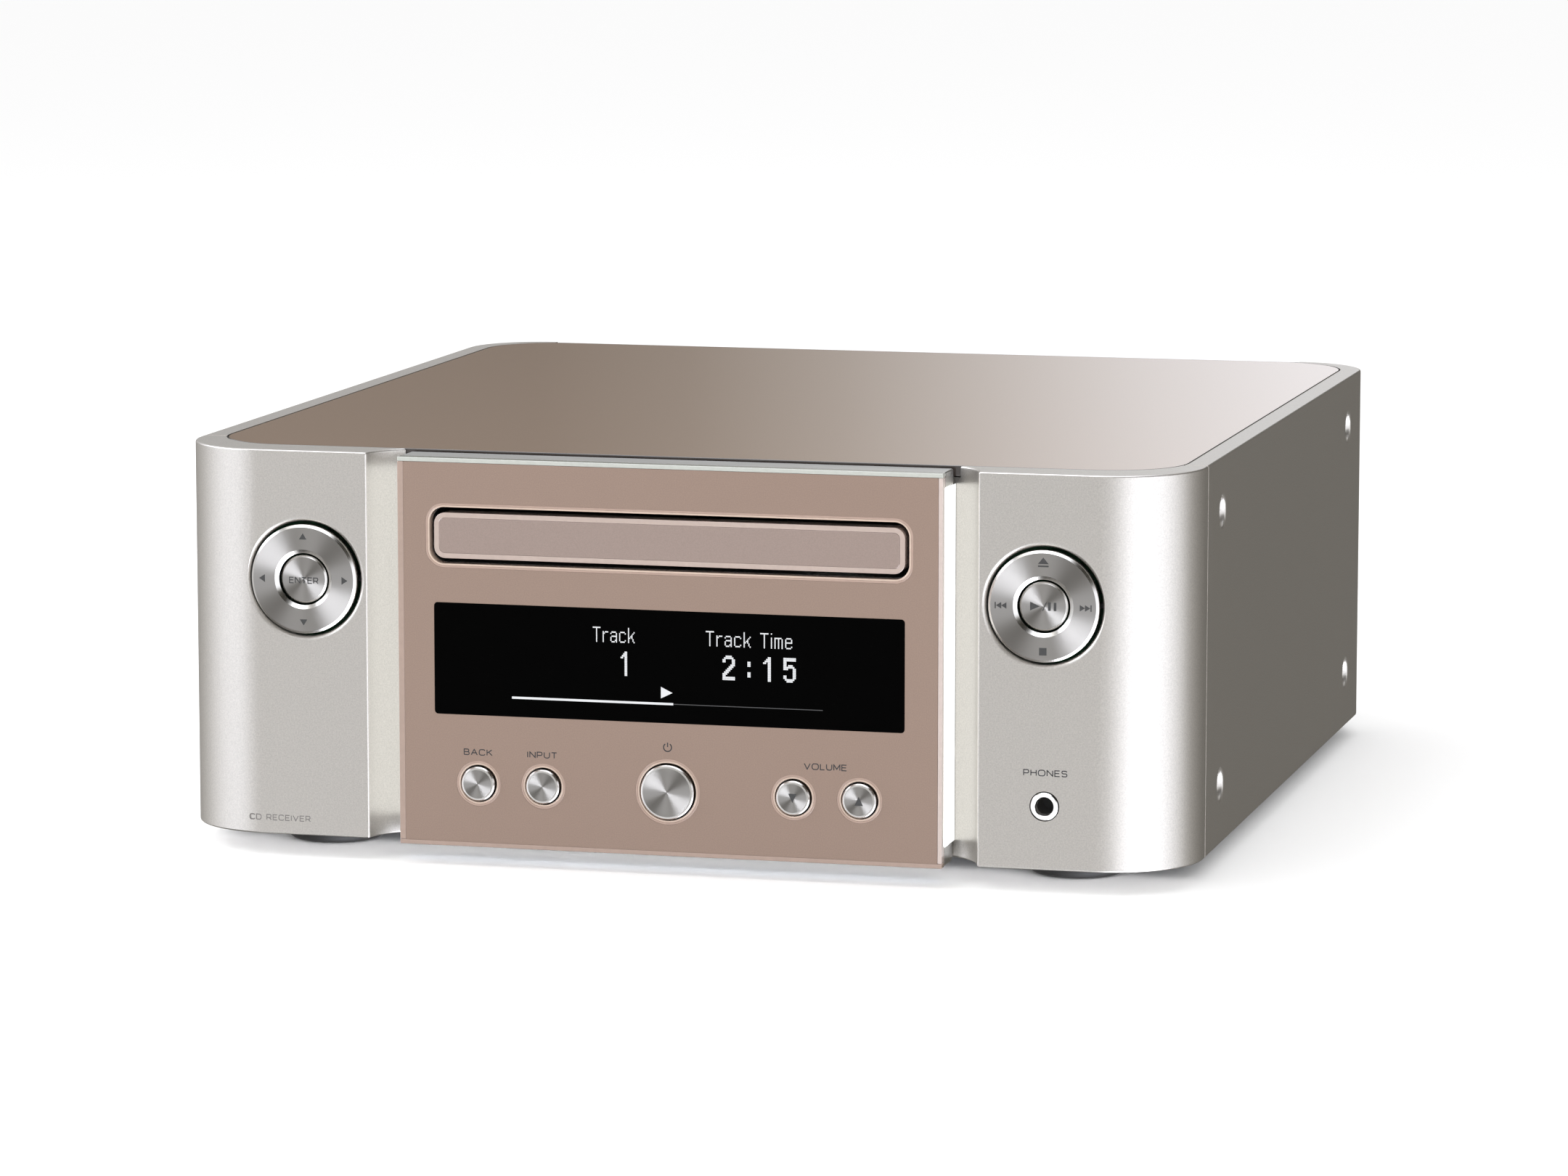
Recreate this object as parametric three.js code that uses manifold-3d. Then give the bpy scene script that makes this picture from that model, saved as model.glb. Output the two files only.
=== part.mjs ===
// Compact CD receiver: a silver moulded case around a brown acrylic centre plate, with a motor-driven
// disc tray, two rocking key rings, five push buttons and the works that they need inside.
// Millimetres. X runs to the right of a person facing the front, Y runs to the rear and Z runs up.
// The origin lies on the surface that it stands on, under the middle of the whole object.
import * as THREE from 'three';
import { mergeVertices } from 'three/addons/utils/BufferGeometryUtils.js';
import Module from 'manifold-3d';

const wasm = await Module();
wasm.setup();

// ---------------------------------------------------------------- driving dimensions

const WIDTH = 280;
const HEIGHT = 111;
const DEPTH = 303; // from the push buttons' faces to the ends of the rear terminals
const GAP = 0.3; // between touching pieces

// Case
const FOOT_HEIGHT = 6;
const WALL = 3;
const SIDE = WIDTH / 2;
const PLATE_PROUD = 1.5; // centre plate in front of the wings
const BUTTON_PROUD = 1.2; // push buttons in front of the centre plate
const TERMINAL_PROUD = 7.5; // rear terminals behind the case
const FACE = -DEPTH / 2 + PLATE_PROUD + BUTTON_PROUD; // front of the wings
const REAR = DEPTH / 2 - TERMINAL_PROUD; // back of the case
const FRONT_RADIUS = 25;
const REAR_RADIUS = 22;
const SEAM = FACE + 28; // where the front panel ends and the side panels start
const WING_EDGE = 84.2; // inner edge of each wing
const COVE_RADIUS = 17;
const COVE_OFFSET = 2.6; // cove centre in front of the wings
const WEB = FACE + 13; // front of the wall behind the centre block
const LID_BOTTOM = HEIGHT - WALL;
const REAR_WRAP = 118; // side panels reach in to this at the back

// Top plate
const TOP_SIDE = 133.7;
const TOP_FRONT = FACE + 12;
const TOP_BACK = REAR - 2.5;
const TOP_RADIUS = 21;

// Centre block and plate
const BLOCK_SIDE = 75;
const BLOCK_BOTTOM = 5.3;
const BLOCK_TOP = 110.4;
const PLATE_THICKNESS = 3;
const PLATE_BACK = FACE - PLATE_PROUD + PLATE_THICKNESS;
const BLOCK_FRONT = PLATE_BACK + GAP;
const BLOCK_BACK = FACE + 10.5;
const LIGHT_HEIGHTS = [10.7, 106.2];
const LIGHT_IN = 71.3;
const LIGHT_BACK = FACE + 7.5;

// Tray door, its slot and the display window
const SLOT = { half: 66, heights: [82, 97.2], radius: 4 };
const DOOR = { half: 65, heights: [83.2, 95.9], radius: 3, span: [FACE - 1.3, FACE + 4.7] };
const DISPLAY = { half: 64.2, heights: [41.5, 71.2] };

// Push buttons, rings and the phones jack
const BUTTON_HEIGHT = 22.65;
const BUTTON_GAP = 0.45;
const SMALL_BUTTON = 4.63;
const POWER_BUTTON = 7.35;
const BUTTONS = [
  { name: 'back_button', x: -52.7, radius: SMALL_BUTTON },
  { name: 'input_button', x: -34.6, radius: SMALL_BUTTON },
  { name: 'power_button', x: 0, radius: POWER_BUTTON },
  { name: 'volume_down_button', x: 34.6, radius: SMALL_BUTTON },
  { name: 'volume_up_button', x: 52.7, radius: SMALL_BUTTON },
];
const RING = { x: 101.9, z: 76.2, radius: 14.9, bore: 7.1, hole: 15.6, bevel: 16.9, key: 6.5 };
const RING_PIVOT = FACE + 5; // both rocking axes of a ring cross here
const JACK = { x: 102.3, z: 23.05, bezel: 3.7, bore: 2.05 };

// Feet and side screws
const FOOT = { x: 104.5, front: FACE + 33, back: FACE + 250, radius: 13.5 };
const SCREW_DEPTHS = [FACE + 49, FACE + 251];
const SCREW_HEIGHTS = [22.2, 96.3];

// Disc drive
const DISC = { y: -78, well: 60.6 }; // centre of the disc and radius of its seat
const TRAY = { half: 63.5, flange: 65.6, front: FACE + 5, back: 14, arms: 34, bottom: 85.6, top: 94.2 };
const WELL_FLOOR = 88.9;
const CHANNEL = 24; // half width of the tray's slot for the turntable and the laser
const LOADER = { half: 72, front: -129, back: 42, bottom: 54, top: 97 };
const RACK_BOTTOM = 82.4;
const GEAR_MODULE = 1.5;
const GEAR_TEETH = 16;
const GEAR_RADIUS = (GEAR_MODULE * GEAR_TEETH) / 2;
const GEAR = { x: 40, y: -114, pulley: 13 };
const MOTOR = { x: 0, y: -117, pulley: 2.5 };
const RACK_LINE = GEAR.x + GEAR_RADIUS;
const TILT = { y: 14, z: 66 }; // axis that the traverse tilts about
const RODS = { x: 24, z: 77, span: [-62, 8] };

const FINE = 24; // sides of a large circle
const ROUND = 16; // sides of a small circle
const ARC = 6; // steps in a large arc of an outline
const SMALL_ARC = 3; // steps in a small one

// ---------------------------------------------------------------- solids

function toSolid(geometry) {
  geometry.deleteAttribute('normal');
  geometry.deleteAttribute('uv');
  const merged = mergeVertices(geometry, 1e-4);
  return new wasm.Manifold(
    new wasm.Mesh({
      numProp: 3,
      vertProperties: merged.attributes.position.array,
      triVerts: new Uint32Array(merged.index.array),
    }),
  );
}

function toGeometry(solid) {
  const { vertProperties, triVerts } = solid.getMesh();
  const geometry = new THREE.BufferGeometry();
  geometry.setAttribute('position', new THREE.BufferAttribute(vertProperties, 3));
  geometry.setIndex(new THREE.BufferAttribute(triVerts, 1));
  geometry.computeVertexNormals();
  return geometry;
}

function join(...solids) {
  return solids.reduce((whole, next) => whole.add(next));
}

function cut(solid, ...tools) {
  return solid.subtract(join(...tools));
}

// The span between two distances from x, on its left (side -1) or its right (side 1).
function spanOn(side, near, far, x = 0) {
  return side > 0 ? [x + near, x + far] : [x - far, x - near];
}

function grown([low, high], amount) {
  return [low - amount, high + amount];
}

// A block between two limits on each axis.
function block([x0, x1], [y0, y1], [z0, z1]) {
  const geometry = new THREE.BoxGeometry(x1 - x0, y1 - y0, z1 - z0);
  geometry.translate((x0 + x1) / 2, (y0 + y1) / 2, (z0 + z1) / 2);
  return toSolid(geometry);
}

// Round bars along each axis; a second radius makes a cone that ends with it.
function barY([x, z], radius, [y0, y1], sides = ROUND, endRadius = radius) {
  const geometry = new THREE.CylinderGeometry(endRadius, radius, y1 - y0, sides);
  geometry.translate(x, (y0 + y1) / 2, z);
  return toSolid(geometry);
}

function barZ([x, y], radius, [z0, z1], sides = ROUND) {
  const geometry = new THREE.CylinderGeometry(radius, radius, z1 - z0, sides);
  geometry.rotateX(Math.PI / 2);
  geometry.translate(x, y, (z0 + z1) / 2);
  return toSolid(geometry);
}

function barX([y, z], radius, [x0, x1], sides = ROUND) {
  const geometry = new THREE.CylinderGeometry(radius, radius, x1 - x0, sides);
  geometry.rotateZ(Math.PI / 2);
  geometry.translate((x0 + x1) / 2, y, z);
  return toSolid(geometry);
}

function extruded(outline, depth, curveSegments) {
  return new THREE.ExtrudeGeometry(outline, { depth, bevelEnabled: false, curveSegments });
}

// A plan outline between two heights.
function upright(outline, [low, high]) {
  const geometry = extruded(outline, high - low, ARC);
  geometry.translate(0, 0, low);
  return toSolid(geometry);
}

// A front-view outline, drawn in X and Z, between two depths.
function facing(outline, [front, back]) {
  const geometry = extruded(outline, back - front, SMALL_ARC);
  geometry.rotateX(Math.PI / 2);
  geometry.translate(0, back, 0);
  return toSolid(geometry);
}

// A profile of [radius, y] points turned about an axis along Y.
function turnedY([x, z], profile, sides = ROUND) {
  const points = profile.map(([radius, y]) => new THREE.Vector2(radius, y));
  const geometry = new THREE.LatheGeometry(points, sides);
  geometry.translate(x, 0, z);
  return toSolid(geometry);
}

// A profile of [radius, z] points turned about an upright axis.
function turnedZ([x, y], profile, sides = ROUND) {
  const points = profile.map(([radius, z]) => new THREE.Vector2(radius, z));
  const geometry = new THREE.LatheGeometry(points, sides);
  geometry.rotateX(Math.PI / 2);
  geometry.translate(x, y, 0);
  return toSolid(geometry);
}

// A rectangle with round corners; the far corners (high second coordinate) can have their own radius.
function rounded([a0, a1], [b0, b1], near, far = near) {
  const outline = new THREE.Shape();
  outline.absarc(a0 + near, b0 + near, near, Math.PI, 1.5 * Math.PI);
  outline.absarc(a1 - near, b0 + near, near, 1.5 * Math.PI, 2 * Math.PI);
  outline.absarc(a1 - far, b1 - far, far, 0, Math.PI / 2);
  outline.absarc(a0 + far, b1 - far, far, Math.PI / 2, Math.PI);
  return outline;
}

function polygon(points) {
  return new THREE.Shape(points.map(([a, b]) => new THREE.Vector2(a, b)));
}

// ---------------------------------------------------------------- finishes and the group

const FINISHES = {
  silver: { color: 0xc4c0bb, roughness: 0.38, metalness: 0.75 },
  brown_acrylic: { color: 0xa08c80, roughness: 0.12, metalness: 0.1 },
  door_acrylic: { color: 0xa8988f, roughness: 0.15, metalness: 0.1 },
  brushed_aluminium: { color: 0xd6d5d2, roughness: 0.3, metalness: 0.9 },
  spun_aluminium: { color: 0xcfcbc8, roughness: 0.25, metalness: 1 },
  light_guide: { color: 0xffffff, roughness: 0.4, metalness: 0 },
  display_glass: { color: 0x050505, roughness: 0.08, metalness: 0 },
  black_steel: { color: 0x1c1c1d, roughness: 0.5, metalness: 0.6 },
  zinc_steel: { color: 0xa9abad, roughness: 0.4, metalness: 0.9 },
  rubber: { color: 0x141414, roughness: 0.9, metalness: 0 },
  black_plastic: { color: 0x18181a, roughness: 0.6, metalness: 0 },
  grey_plastic: { color: 0x4a4b4e, roughness: 0.6, metalness: 0 },
  white_plastic: { color: 0xe6e4dd, roughness: 0.5, metalness: 0 },
  circuit_board: { color: 0x1f5a35, roughness: 0.55, metalness: 0 },
  nickel: { color: 0xcfcdc6, roughness: 0.22, metalness: 1 },
  heat_aluminium: { color: 0x8d9094, roughness: 0.45, metalness: 0.9 },
};

const player = new THREE.Group();

function add(name, finish, solid) {
  const mesh = new THREE.Mesh(toGeometry(solid), new THREE.MeshStandardMaterial(FINISHES[finish]));
  mesh.name = name;
  player.add(mesh);
}

// ---------------------------------------------------------------- case

const COVE_CENTRE = WING_EDGE - Math.sqrt(COVE_RADIUS ** 2 - COVE_OFFSET ** 2);

// Front part of the case in plan, open to the rear: a corner, a wing, a cove, the wall behind the
// centre block, and the same mirrored. An inset moves the whole line inwards.
function frontOutline(inset, back) {
  const outline = new THREE.Shape();
  const corner = FRONT_RADIUS - inset;
  const cove = COVE_RADIUS + inset;
  const centre = FACE - COVE_OFFSET;
  const start = Math.asin((COVE_OFFSET + inset) / cove);
  const end = Math.asin((WEB + inset - centre) / cove);
  outline.moveTo(inset - SIDE, back);
  outline.lineTo(inset - SIDE, FACE + FRONT_RADIUS);
  outline.absarc(FRONT_RADIUS - SIDE, FACE + FRONT_RADIUS, corner, Math.PI, 1.5 * Math.PI);
  outline.absarc(-COVE_CENTRE, centre, cove, Math.PI - start, Math.PI - end, true);
  outline.absarc(COVE_CENTRE, centre, cove, end, start, true);
  outline.absarc(SIDE - FRONT_RADIUS, FACE + FRONT_RADIUS, corner, 1.5 * Math.PI, 2 * Math.PI);
  outline.lineTo(SIDE - inset, back);
  return outline;
}

function topPlateOutline(grow) {
  const across = TOP_SIDE + grow;
  const along = [TOP_FRONT - grow, TOP_BACK + grow];
  return rounded([-across, across], along, TOP_RADIUS + grow);
}

// Space for the top plate and the cover under it.
const topClearance = upright(topPlateOutline(GAP + 0.1), [LID_BOTTOM - 0.1, HEIGHT + 1]);

// A screw's round seat and its hole, through a side wall.
function screwSeats(side) {
  const seats = [];
  for (const y of SCREW_DEPTHS) {
    for (const z of SCREW_HEIGHTS) {
      const seat = spanOn(side, SIDE - 1.9, SIDE + 1);
      const hole = spanOn(side, SIDE - 5, SIDE);
      seats.push(barX([y, z], 4.5, seat), barX([y, z], 1.9, hole));
    }
  }
  return seats;
}

function frontPanel() {
  const outer = upright(frontOutline(0, SEAM), [FOOT_HEIGHT, HEIGHT]);
  const room = upright(frontOutline(WALL, SEAM + 1), [FOOT_HEIGHT + WALL, LID_BOTTOM - 0.1]);
  const panel = cut(outer, room, topClearance);
  const holes = [];
  const bosses = [];
  for (const x of [-RING.x, RING.x]) {
    holes.push(barY([x, RING.z], RING.hole, [FACE - 1, FACE + WALL + 1], FINE));
    const flare = RING.bevel - RING.hole;
    holes.push(barY([x, RING.z], RING.bevel + 1, [FACE - 1, FACE + flare], FINE, RING.hole));
    for (const side of [-1, 1]) {
      const reach = spanOn(side, 16.2, 18.4, x);
      bosses.push(block(reach, [FACE + WALL - 0.5, FACE + 8], [RING.z - 3.5, RING.z + 3.5]));
      const pin = spanOn(side, 15, 17.6, x);
      holes.push(barX([RING_PIVOT, RING.z], 1.3, pin, 12));
    }
  }
  holes.push(barY([JACK.x, JACK.z], JACK.bezel + GAP, [FACE - 1, FACE + WALL + 1]));
  const web = [WEB - 1, WEB + WALL + 1];
  holes.push(block([-67.5, 67.5], web, [80.6, 98.6]));
  holes.push(block([-61, 61], web, [43, 70]));
  for (const { x } of BUTTONS) {
    holes.push(barY([x, BUTTON_HEIGHT], 3.2, web));
  }
  return cut(join(panel, ...bosses), ...holes);
}

function sidePanel(side) {
  const casing = rounded([-SIDE, SIDE], [FACE, REAR], FRONT_RADIUS, REAR_RADIUS);
  const inset = [WALL - SIDE, SIDE - WALL];
  const room = rounded(inset, [FACE + WALL, REAR - WALL], FRONT_RADIUS - WALL, REAR_RADIUS - WALL);
  const across = spanOn(side, REAR_WRAP, SIDE + 1);
  const keep = block(across, [SEAM + GAP, REAR + 1], [0, HEIGHT + 1]);
  const panel = upright(casing, [FOOT_HEIGHT, HEIGHT]).intersect(keep);
  return cut(panel, upright(room, [0, LID_BOTTOM - 0.1]), topClearance, ...screwSeats(side));
}

// Flat sheet that fills the case in plan behind the front wall, with its front corners rounded.
function innerSheet(heights, front, corner) {
  const across = SIDE - WALL - 0.4;
  return upright(rounded([-across, across], [front, REAR - WALL - 0.4], corner, 19), heights);
}

function bottomChassis() {
  const front = SEAM + 0.5;
  const sheet = innerSheet([FOOT_HEIGHT + GAP, FOOT_HEIGHT + 1.8], front, 1);
  const slots = [];
  for (const x of [-110, -88, 88, 110]) {
    for (const y of [-40, 40]) {
      slots.push(block([x - 2, x + 2], [y - 30, y + 30], [0, 12]));
    }
  }
  const flanges = [-1, 1].map((side) => {
    const wall = spanOn(side, 135.1, 136.6);
    return block(wall, [FACE + 70, TOP_BACK - 25], [FOOT_HEIGHT + 1, FOOT_HEIGHT + 12]);
  });
  return join(cut(sheet, ...slots), ...flanges);
}

const REAR_PANEL = [REAR - 2, REAR - 0.5];
const SPEAKERS = { across: [-112, -12], heights: [18, 52] };
const AUDIO = { across: [4, 62], heights: [18, 52] };
const NETWORK = { across: [68, 86], heights: [18, 50] };
const INLET = { across: [91, 114], heights: [18, 36] };

function rearPanel() {
  const half = REAR_WRAP - 0.4;
  const sheet = block([-half, half], REAR_PANEL, [FOOT_HEIGHT + 0.4, HEIGHT - 0.2]);
  const through = [REAR - 5, REAR + 5];
  const holes = [
    block(grown(SPEAKERS.across, -3), through, grown(SPEAKERS.heights, -2)),
    block(grown(AUDIO.across, -3), through, grown(AUDIO.heights, -2)),
    block(grown(NETWORK.across, 0.4), through, grown(NETWORK.heights, 0.4)),
    block(grown(INLET.across, 0.4), through, grown(INLET.heights, 0.4)),
  ];
  for (let x = -96; x <= 96; x += 16) {
    holes.push(block([x - 1.5, x + 1.5], through, [70, 92]));
  }
  return cut(sheet, ...holes);
}

function foot(x, y) {
  const { radius } = FOOT;
  const top = FOOT_HEIGHT - GAP;
  const profile = [[0, 0], [radius - 1.5, 0], [radius, 1.5], [radius, top], [0, top]];
  return turnedZ([x, y], profile, 20);
}

function sideScrew(side, y, z) {
  const head = spanOn(side, SIDE - 1.6, SIDE - 0.2);
  const shank = spanOn(side, SIDE - 9, SIDE - 1.5);
  return join(barX([y, z], 4.1, head, 12), barX([y, z], 1.5, shank, 6));
}

function addCase() {
  add('front_panel', 'silver', frontPanel());
  add('left_side_panel', 'silver', sidePanel(-1));
  add('right_side_panel', 'silver', sidePanel(1));
  add('top_plate', 'brown_acrylic', upright(topPlateOutline(0), [LID_BOTTOM + 0.2, HEIGHT]));
  add('top_cover', 'zinc_steel', innerSheet([LID_BOTTOM - 1.8, LID_BOTTOM - GAP], WEB + WALL + 0.4, 16));
  add('bottom_chassis', 'black_steel', bottomChassis());
  add('rear_panel', 'black_steel', rearPanel());
  for (const [row, y] of [['front', FOOT.front], ['rear', FOOT.back]]) {
    add(`foot_${row}_left`, 'rubber', foot(-FOOT.x, y));
    add(`foot_${row}_right`, 'rubber', foot(FOOT.x, y));
  }
  for (const [word, side] of [['left', -1], ['right', 1]]) {
    let number = 1;
    for (const y of SCREW_DEPTHS) {
      for (const z of SCREW_HEIGHTS) {
        add(`side_screw_${word}_${number}`, 'nickel', sideScrew(side, y, z));
        number += 1;
      }
    }
  }
}

// ---------------------------------------------------------------- centre block

function buttonHoles(extra, depths) {
  return BUTTONS.map(({ x, radius }) => {
    return barY([x, BUTTON_HEIGHT], radius + BUTTON_GAP + extra, depths);
  });
}

function slotTool(depths) {
  return facing(rounded([-SLOT.half, SLOT.half], SLOT.heights, SLOT.radius), depths);
}

function centreOutline() {
  return rounded([-BLOCK_SIDE, BLOCK_SIDE], [BLOCK_BOTTOM, BLOCK_TOP], 0.6);
}

function frontWindow() {
  const front = FACE - PLATE_PROUD;
  const depths = [front - 1, PLATE_BACK + 1];
  return cut(facing(centreOutline(), [front, PLATE_BACK]), slotTool(depths), ...buttonHoles(0, depths));
}

function frontBlock() {
  const depths = [BLOCK_FRONT - 1, BLOCK_BACK + 1];
  const window = grown([-DISPLAY.half, DISPLAY.half], 0.6);
  const tools = [slotTool(depths), ...buttonHoles(0.3, depths)];
  tools.push(block(window, depths, grown(DISPLAY.heights, 0.6)));
  const posts = [];
  for (const side of [-1, 1]) {
    const groove = spanOn(side, LIGHT_IN - GAP, BLOCK_SIDE + 1);
    tools.push(block(groove, [BLOCK_FRONT - 1, LIGHT_BACK + GAP], grown(LIGHT_HEIGHTS, GAP)));
    for (const z of [34, 77]) {
      posts.push(barY([side * 70.5, z], 3, [BLOCK_BACK - 0.5, WEB - GAP]));
    }
  }
  return join(cut(facing(centreOutline(), [BLOCK_FRONT, BLOCK_BACK]), ...tools), ...posts);
}

function displayModule() {
  const { half, heights } = DISPLAY;
  return join(
    block([-half, half], [BLOCK_FRONT, FACE + 10], heights),
    block([-58, 58], [FACE + 9, FACE + 17.5], grown(heights, -3)),
    block([-68, 68], [FACE + 17, FACE + 18.6], grown(heights, 3)),
  );
}

function pushButton({ x, radius }) {
  const front = FACE - PLATE_PROUD - BUTTON_PROUD;
  const stem = FACE + 14.5;
  const profile = [[0, front], [radius, front], [radius, FACE + 5], [2.2, FACE + 5], [2.2, stem], [0, stem]];
  return turnedY([x, BUTTON_HEIGHT], profile);
}

// One printed board behind both wings and under the display, with a switch behind every key.
function keyBoard() {
  const board = [FACE + 17, FACE + 18.6];
  const pieces = [block([-128, 128], board, [12, 36])];
  for (const side of [-1, 1]) {
    const wing = spanOn(side, 80, 128);
    pieces.push(block(wing, board, [12, 96]));
    const centre = side * RING.x;
    pieces.push(block(grown([centre, centre], 2), [FACE + 14.2, board[0] + 0.5], grown([RING.z, RING.z], 2)));
    for (let turn = 0; turn < 4; turn += 1) {
      const x = centre + 10.8 * Math.cos((turn * Math.PI) / 2);
      const z = RING.z + 10.8 * Math.sin((turn * Math.PI) / 2);
      pieces.push(block(grown([x, x], 2), [FACE + 14, board[0] + 0.5], grown([z, z], 2)));
    }
  }
  for (const { x } of BUTTONS) {
    const across = grown([x, x], 1.5);
    const up = grown([BUTTON_HEIGHT, BUTTON_HEIGHT], 1.5);
    pieces.push(block(across, [FACE + 15.8, board[0] + 0.5], up));
  }
  return join(...pieces);
}

function addCentre() {
  add('front_window', 'brown_acrylic', frontWindow());
  add('front_block', 'brushed_aluminium', frontBlock());
  const strip = [LIGHT_IN, BLOCK_SIDE];
  const depth = [BLOCK_FRONT, LIGHT_BACK];
  add('light_guide_left', 'light_guide', block([-strip[1], -strip[0]], depth, LIGHT_HEIGHTS));
  add('light_guide_right', 'light_guide', block(strip, depth, LIGHT_HEIGHTS));
  add('display_module', 'display_glass', displayModule());
  for (const button of BUTTONS) {
    add(button.name, 'spun_aluminium', pushButton(button));
  }
  add('key_board', 'circuit_board', keyBoard());
}

// ---------------------------------------------------------------- rings and jack on the wings

function ring(x) {
  const { radius, bore } = RING;
  const front = FACE - 1.2;
  const back = FACE + 3.1;
  const profile = [[bore, front], [radius - 0.7, front], [radius, front + 0.7], [radius, FACE + 1.2]];
  return turnedY([x, RING.z], [...profile, [13.6, back], [bore, back], [bore, front]], FINE);
}

function ringCarrier(x) {
  const front = FACE + 4;
  const back = FACE + 6;
  const plate = [[8.2, front], [13.4, front], [13.4, back], [8.2, back], [8.2, front]];
  const pieces = [turnedY([x, RING.z], plate, 24)];
  for (let turn = 0; turn < 4; turn += 1) {
    const across = x + 10.8 * Math.cos((turn * Math.PI) / 2);
    const up = RING.z + 10.8 * Math.sin((turn * Math.PI) / 2);
    pieces.push(block(grown([across, across], 1.2), [back - 0.5, FACE + 13.2], grown([up, up], 1.2)));
  }
  for (const side of [-1, 1]) {
    const pin = spanOn(side, 13, 17.2, x);
    pieces.push(barX([RING_PIVOT, RING.z], 0.9, pin, 8));
  }
  return join(...pieces);
}

function ringKey(x) {
  const front = FACE - 0.6;
  const stem = FACE + 13.2;
  const shoulder = FACE + 6;
  const cap = [[0, front], [RING.key, front], [RING.key, shoulder]];
  const profile = [...cap, [2.2, shoulder], [2.2, stem], [0, stem]];
  return turnedY([x, RING.z], profile);
}

function phonesJack() {
  const { x, z, bezel, bore } = JACK;
  const body = block([x - 6, x + 6], [FACE + WALL + GAP, FACE + 16.7], [z - 6, z + 6]);
  const nose = barY([x, z], bezel, [FACE - 0.4, FACE + 5]);
  return cut(join(body, nose), barY([x, z], bore, [FACE - 1, FACE + 15]));
}

function addKeys() {
  add('cursor_ring', 'spun_aluminium', ring(-RING.x));
  add('cursor_carrier', 'black_plastic', ringCarrier(-RING.x));
  add('enter_button', 'spun_aluminium', ringKey(-RING.x));
  add('transport_ring', 'spun_aluminium', ring(RING.x));
  add('transport_carrier', 'black_plastic', ringCarrier(RING.x));
  add('play_button', 'spun_aluminium', ringKey(RING.x));
  add('phones_jack', 'nickel', phonesJack());
}

// ---------------------------------------------------------------- disc tray and its drive

// Outline of a straight row of teeth, whose tips point to -X, backed by a bar.
function rackOutline([start, end], back) {
  const pitch = Math.PI * GEAR_MODULE;
  const points = [];
  const count = Math.floor((end - start) / pitch);
  const first = GEAR.y + (Math.round((start - GEAR.y) / pitch) + 0.5) * pitch;
  points.push([back, first - pitch / 2]);
  for (let tooth = 0; tooth < count; tooth += 1) {
    const middle = first + tooth * pitch;
    points.push([RACK_LINE + 1.6, middle - 1.35], [RACK_LINE - 1.2, middle - 0.5]);
    points.push([RACK_LINE - 1.2, middle + 0.5], [RACK_LINE + 1.6, middle + 1.35]);
  }
  points.push([back, first + (count - 0.5) * pitch]);
  return polygon(points);
}

// Outline of the pinion. A tooth points to +X, between two teeth of the rack.
function gearOutline() {
  const points = [];
  const step = (2 * Math.PI) / GEAR_TEETH;
  const flank = [[GEAR_RADIUS - 1.7, -0.125], [GEAR_RADIUS + 1.1, -0.035]];
  for (let tooth = 0; tooth < GEAR_TEETH; tooth += 1) {
    for (const [radius, angle] of [...flank, [flank[1][0], -flank[1][1]], [flank[0][0], -flank[0][1]]]) {
      const turn = tooth * step + angle;
      points.push([GEAR.x + radius * Math.cos(turn), GEAR.y + radius * Math.sin(turn)]);
    }
  }
  return polygon(points);
}

// The line of a belt round two pulleys: two arcs joined by their outer tangents.
function beltOutline(shape, large, small) {
  const along = Math.atan2(MOTOR.y - GEAR.y, MOTOR.x - GEAR.x);
  const distance = Math.hypot(MOTOR.y - GEAR.y, MOTOR.x - GEAR.x);
  const lean = Math.acos((large - small) / distance);
  shape.absarc(GEAR.x, GEAR.y, large, along + lean, along - lean + 2 * Math.PI);
  shape.absarc(MOTOR.x, MOTOR.y, small, along - lean, along + lean);
  return shape;
}

function discTray() {
  const { half, flange, front, back, arms, bottom, top } = TRAY;
  const plate = block([-half, half], [front, back], [bottom, top]);
  const sides = [];
  for (const side of [-1, 1]) {
    const arm = spanOn(side, 46, half);
    const lip = spanOn(side, half - 1, flange);
    sides.push(block(arm, [back - 1, arms], [bottom, bottom + 4.5]));
    sides.push(block(lip, [-128, arms], [bottom, bottom + 2.4]));
  }
  const rack = upright(rackOutline([-127, 33], RACK_LINE + 5), [RACK_BOTTOM, bottom + 0.5]);
  const well = barZ([0, DISC.y], DISC.well, [WELL_FLOOR, top + 1], 36);
  const hub = barZ([0, DISC.y], CHANNEL, [bottom - 1, top + 1], FINE);
  const channel = block([-CHANNEL, CHANNEL], [DISC.y, back + 1], [bottom - 1, top + 1]);
  const fingers = block([-18, 18], [front + 5.5, DISC.y - 45], [WELL_FLOOR - 2, top + 1]);
  return join(cut(plate, well, hub, channel, fingers), ...sides, rack);
}

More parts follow.
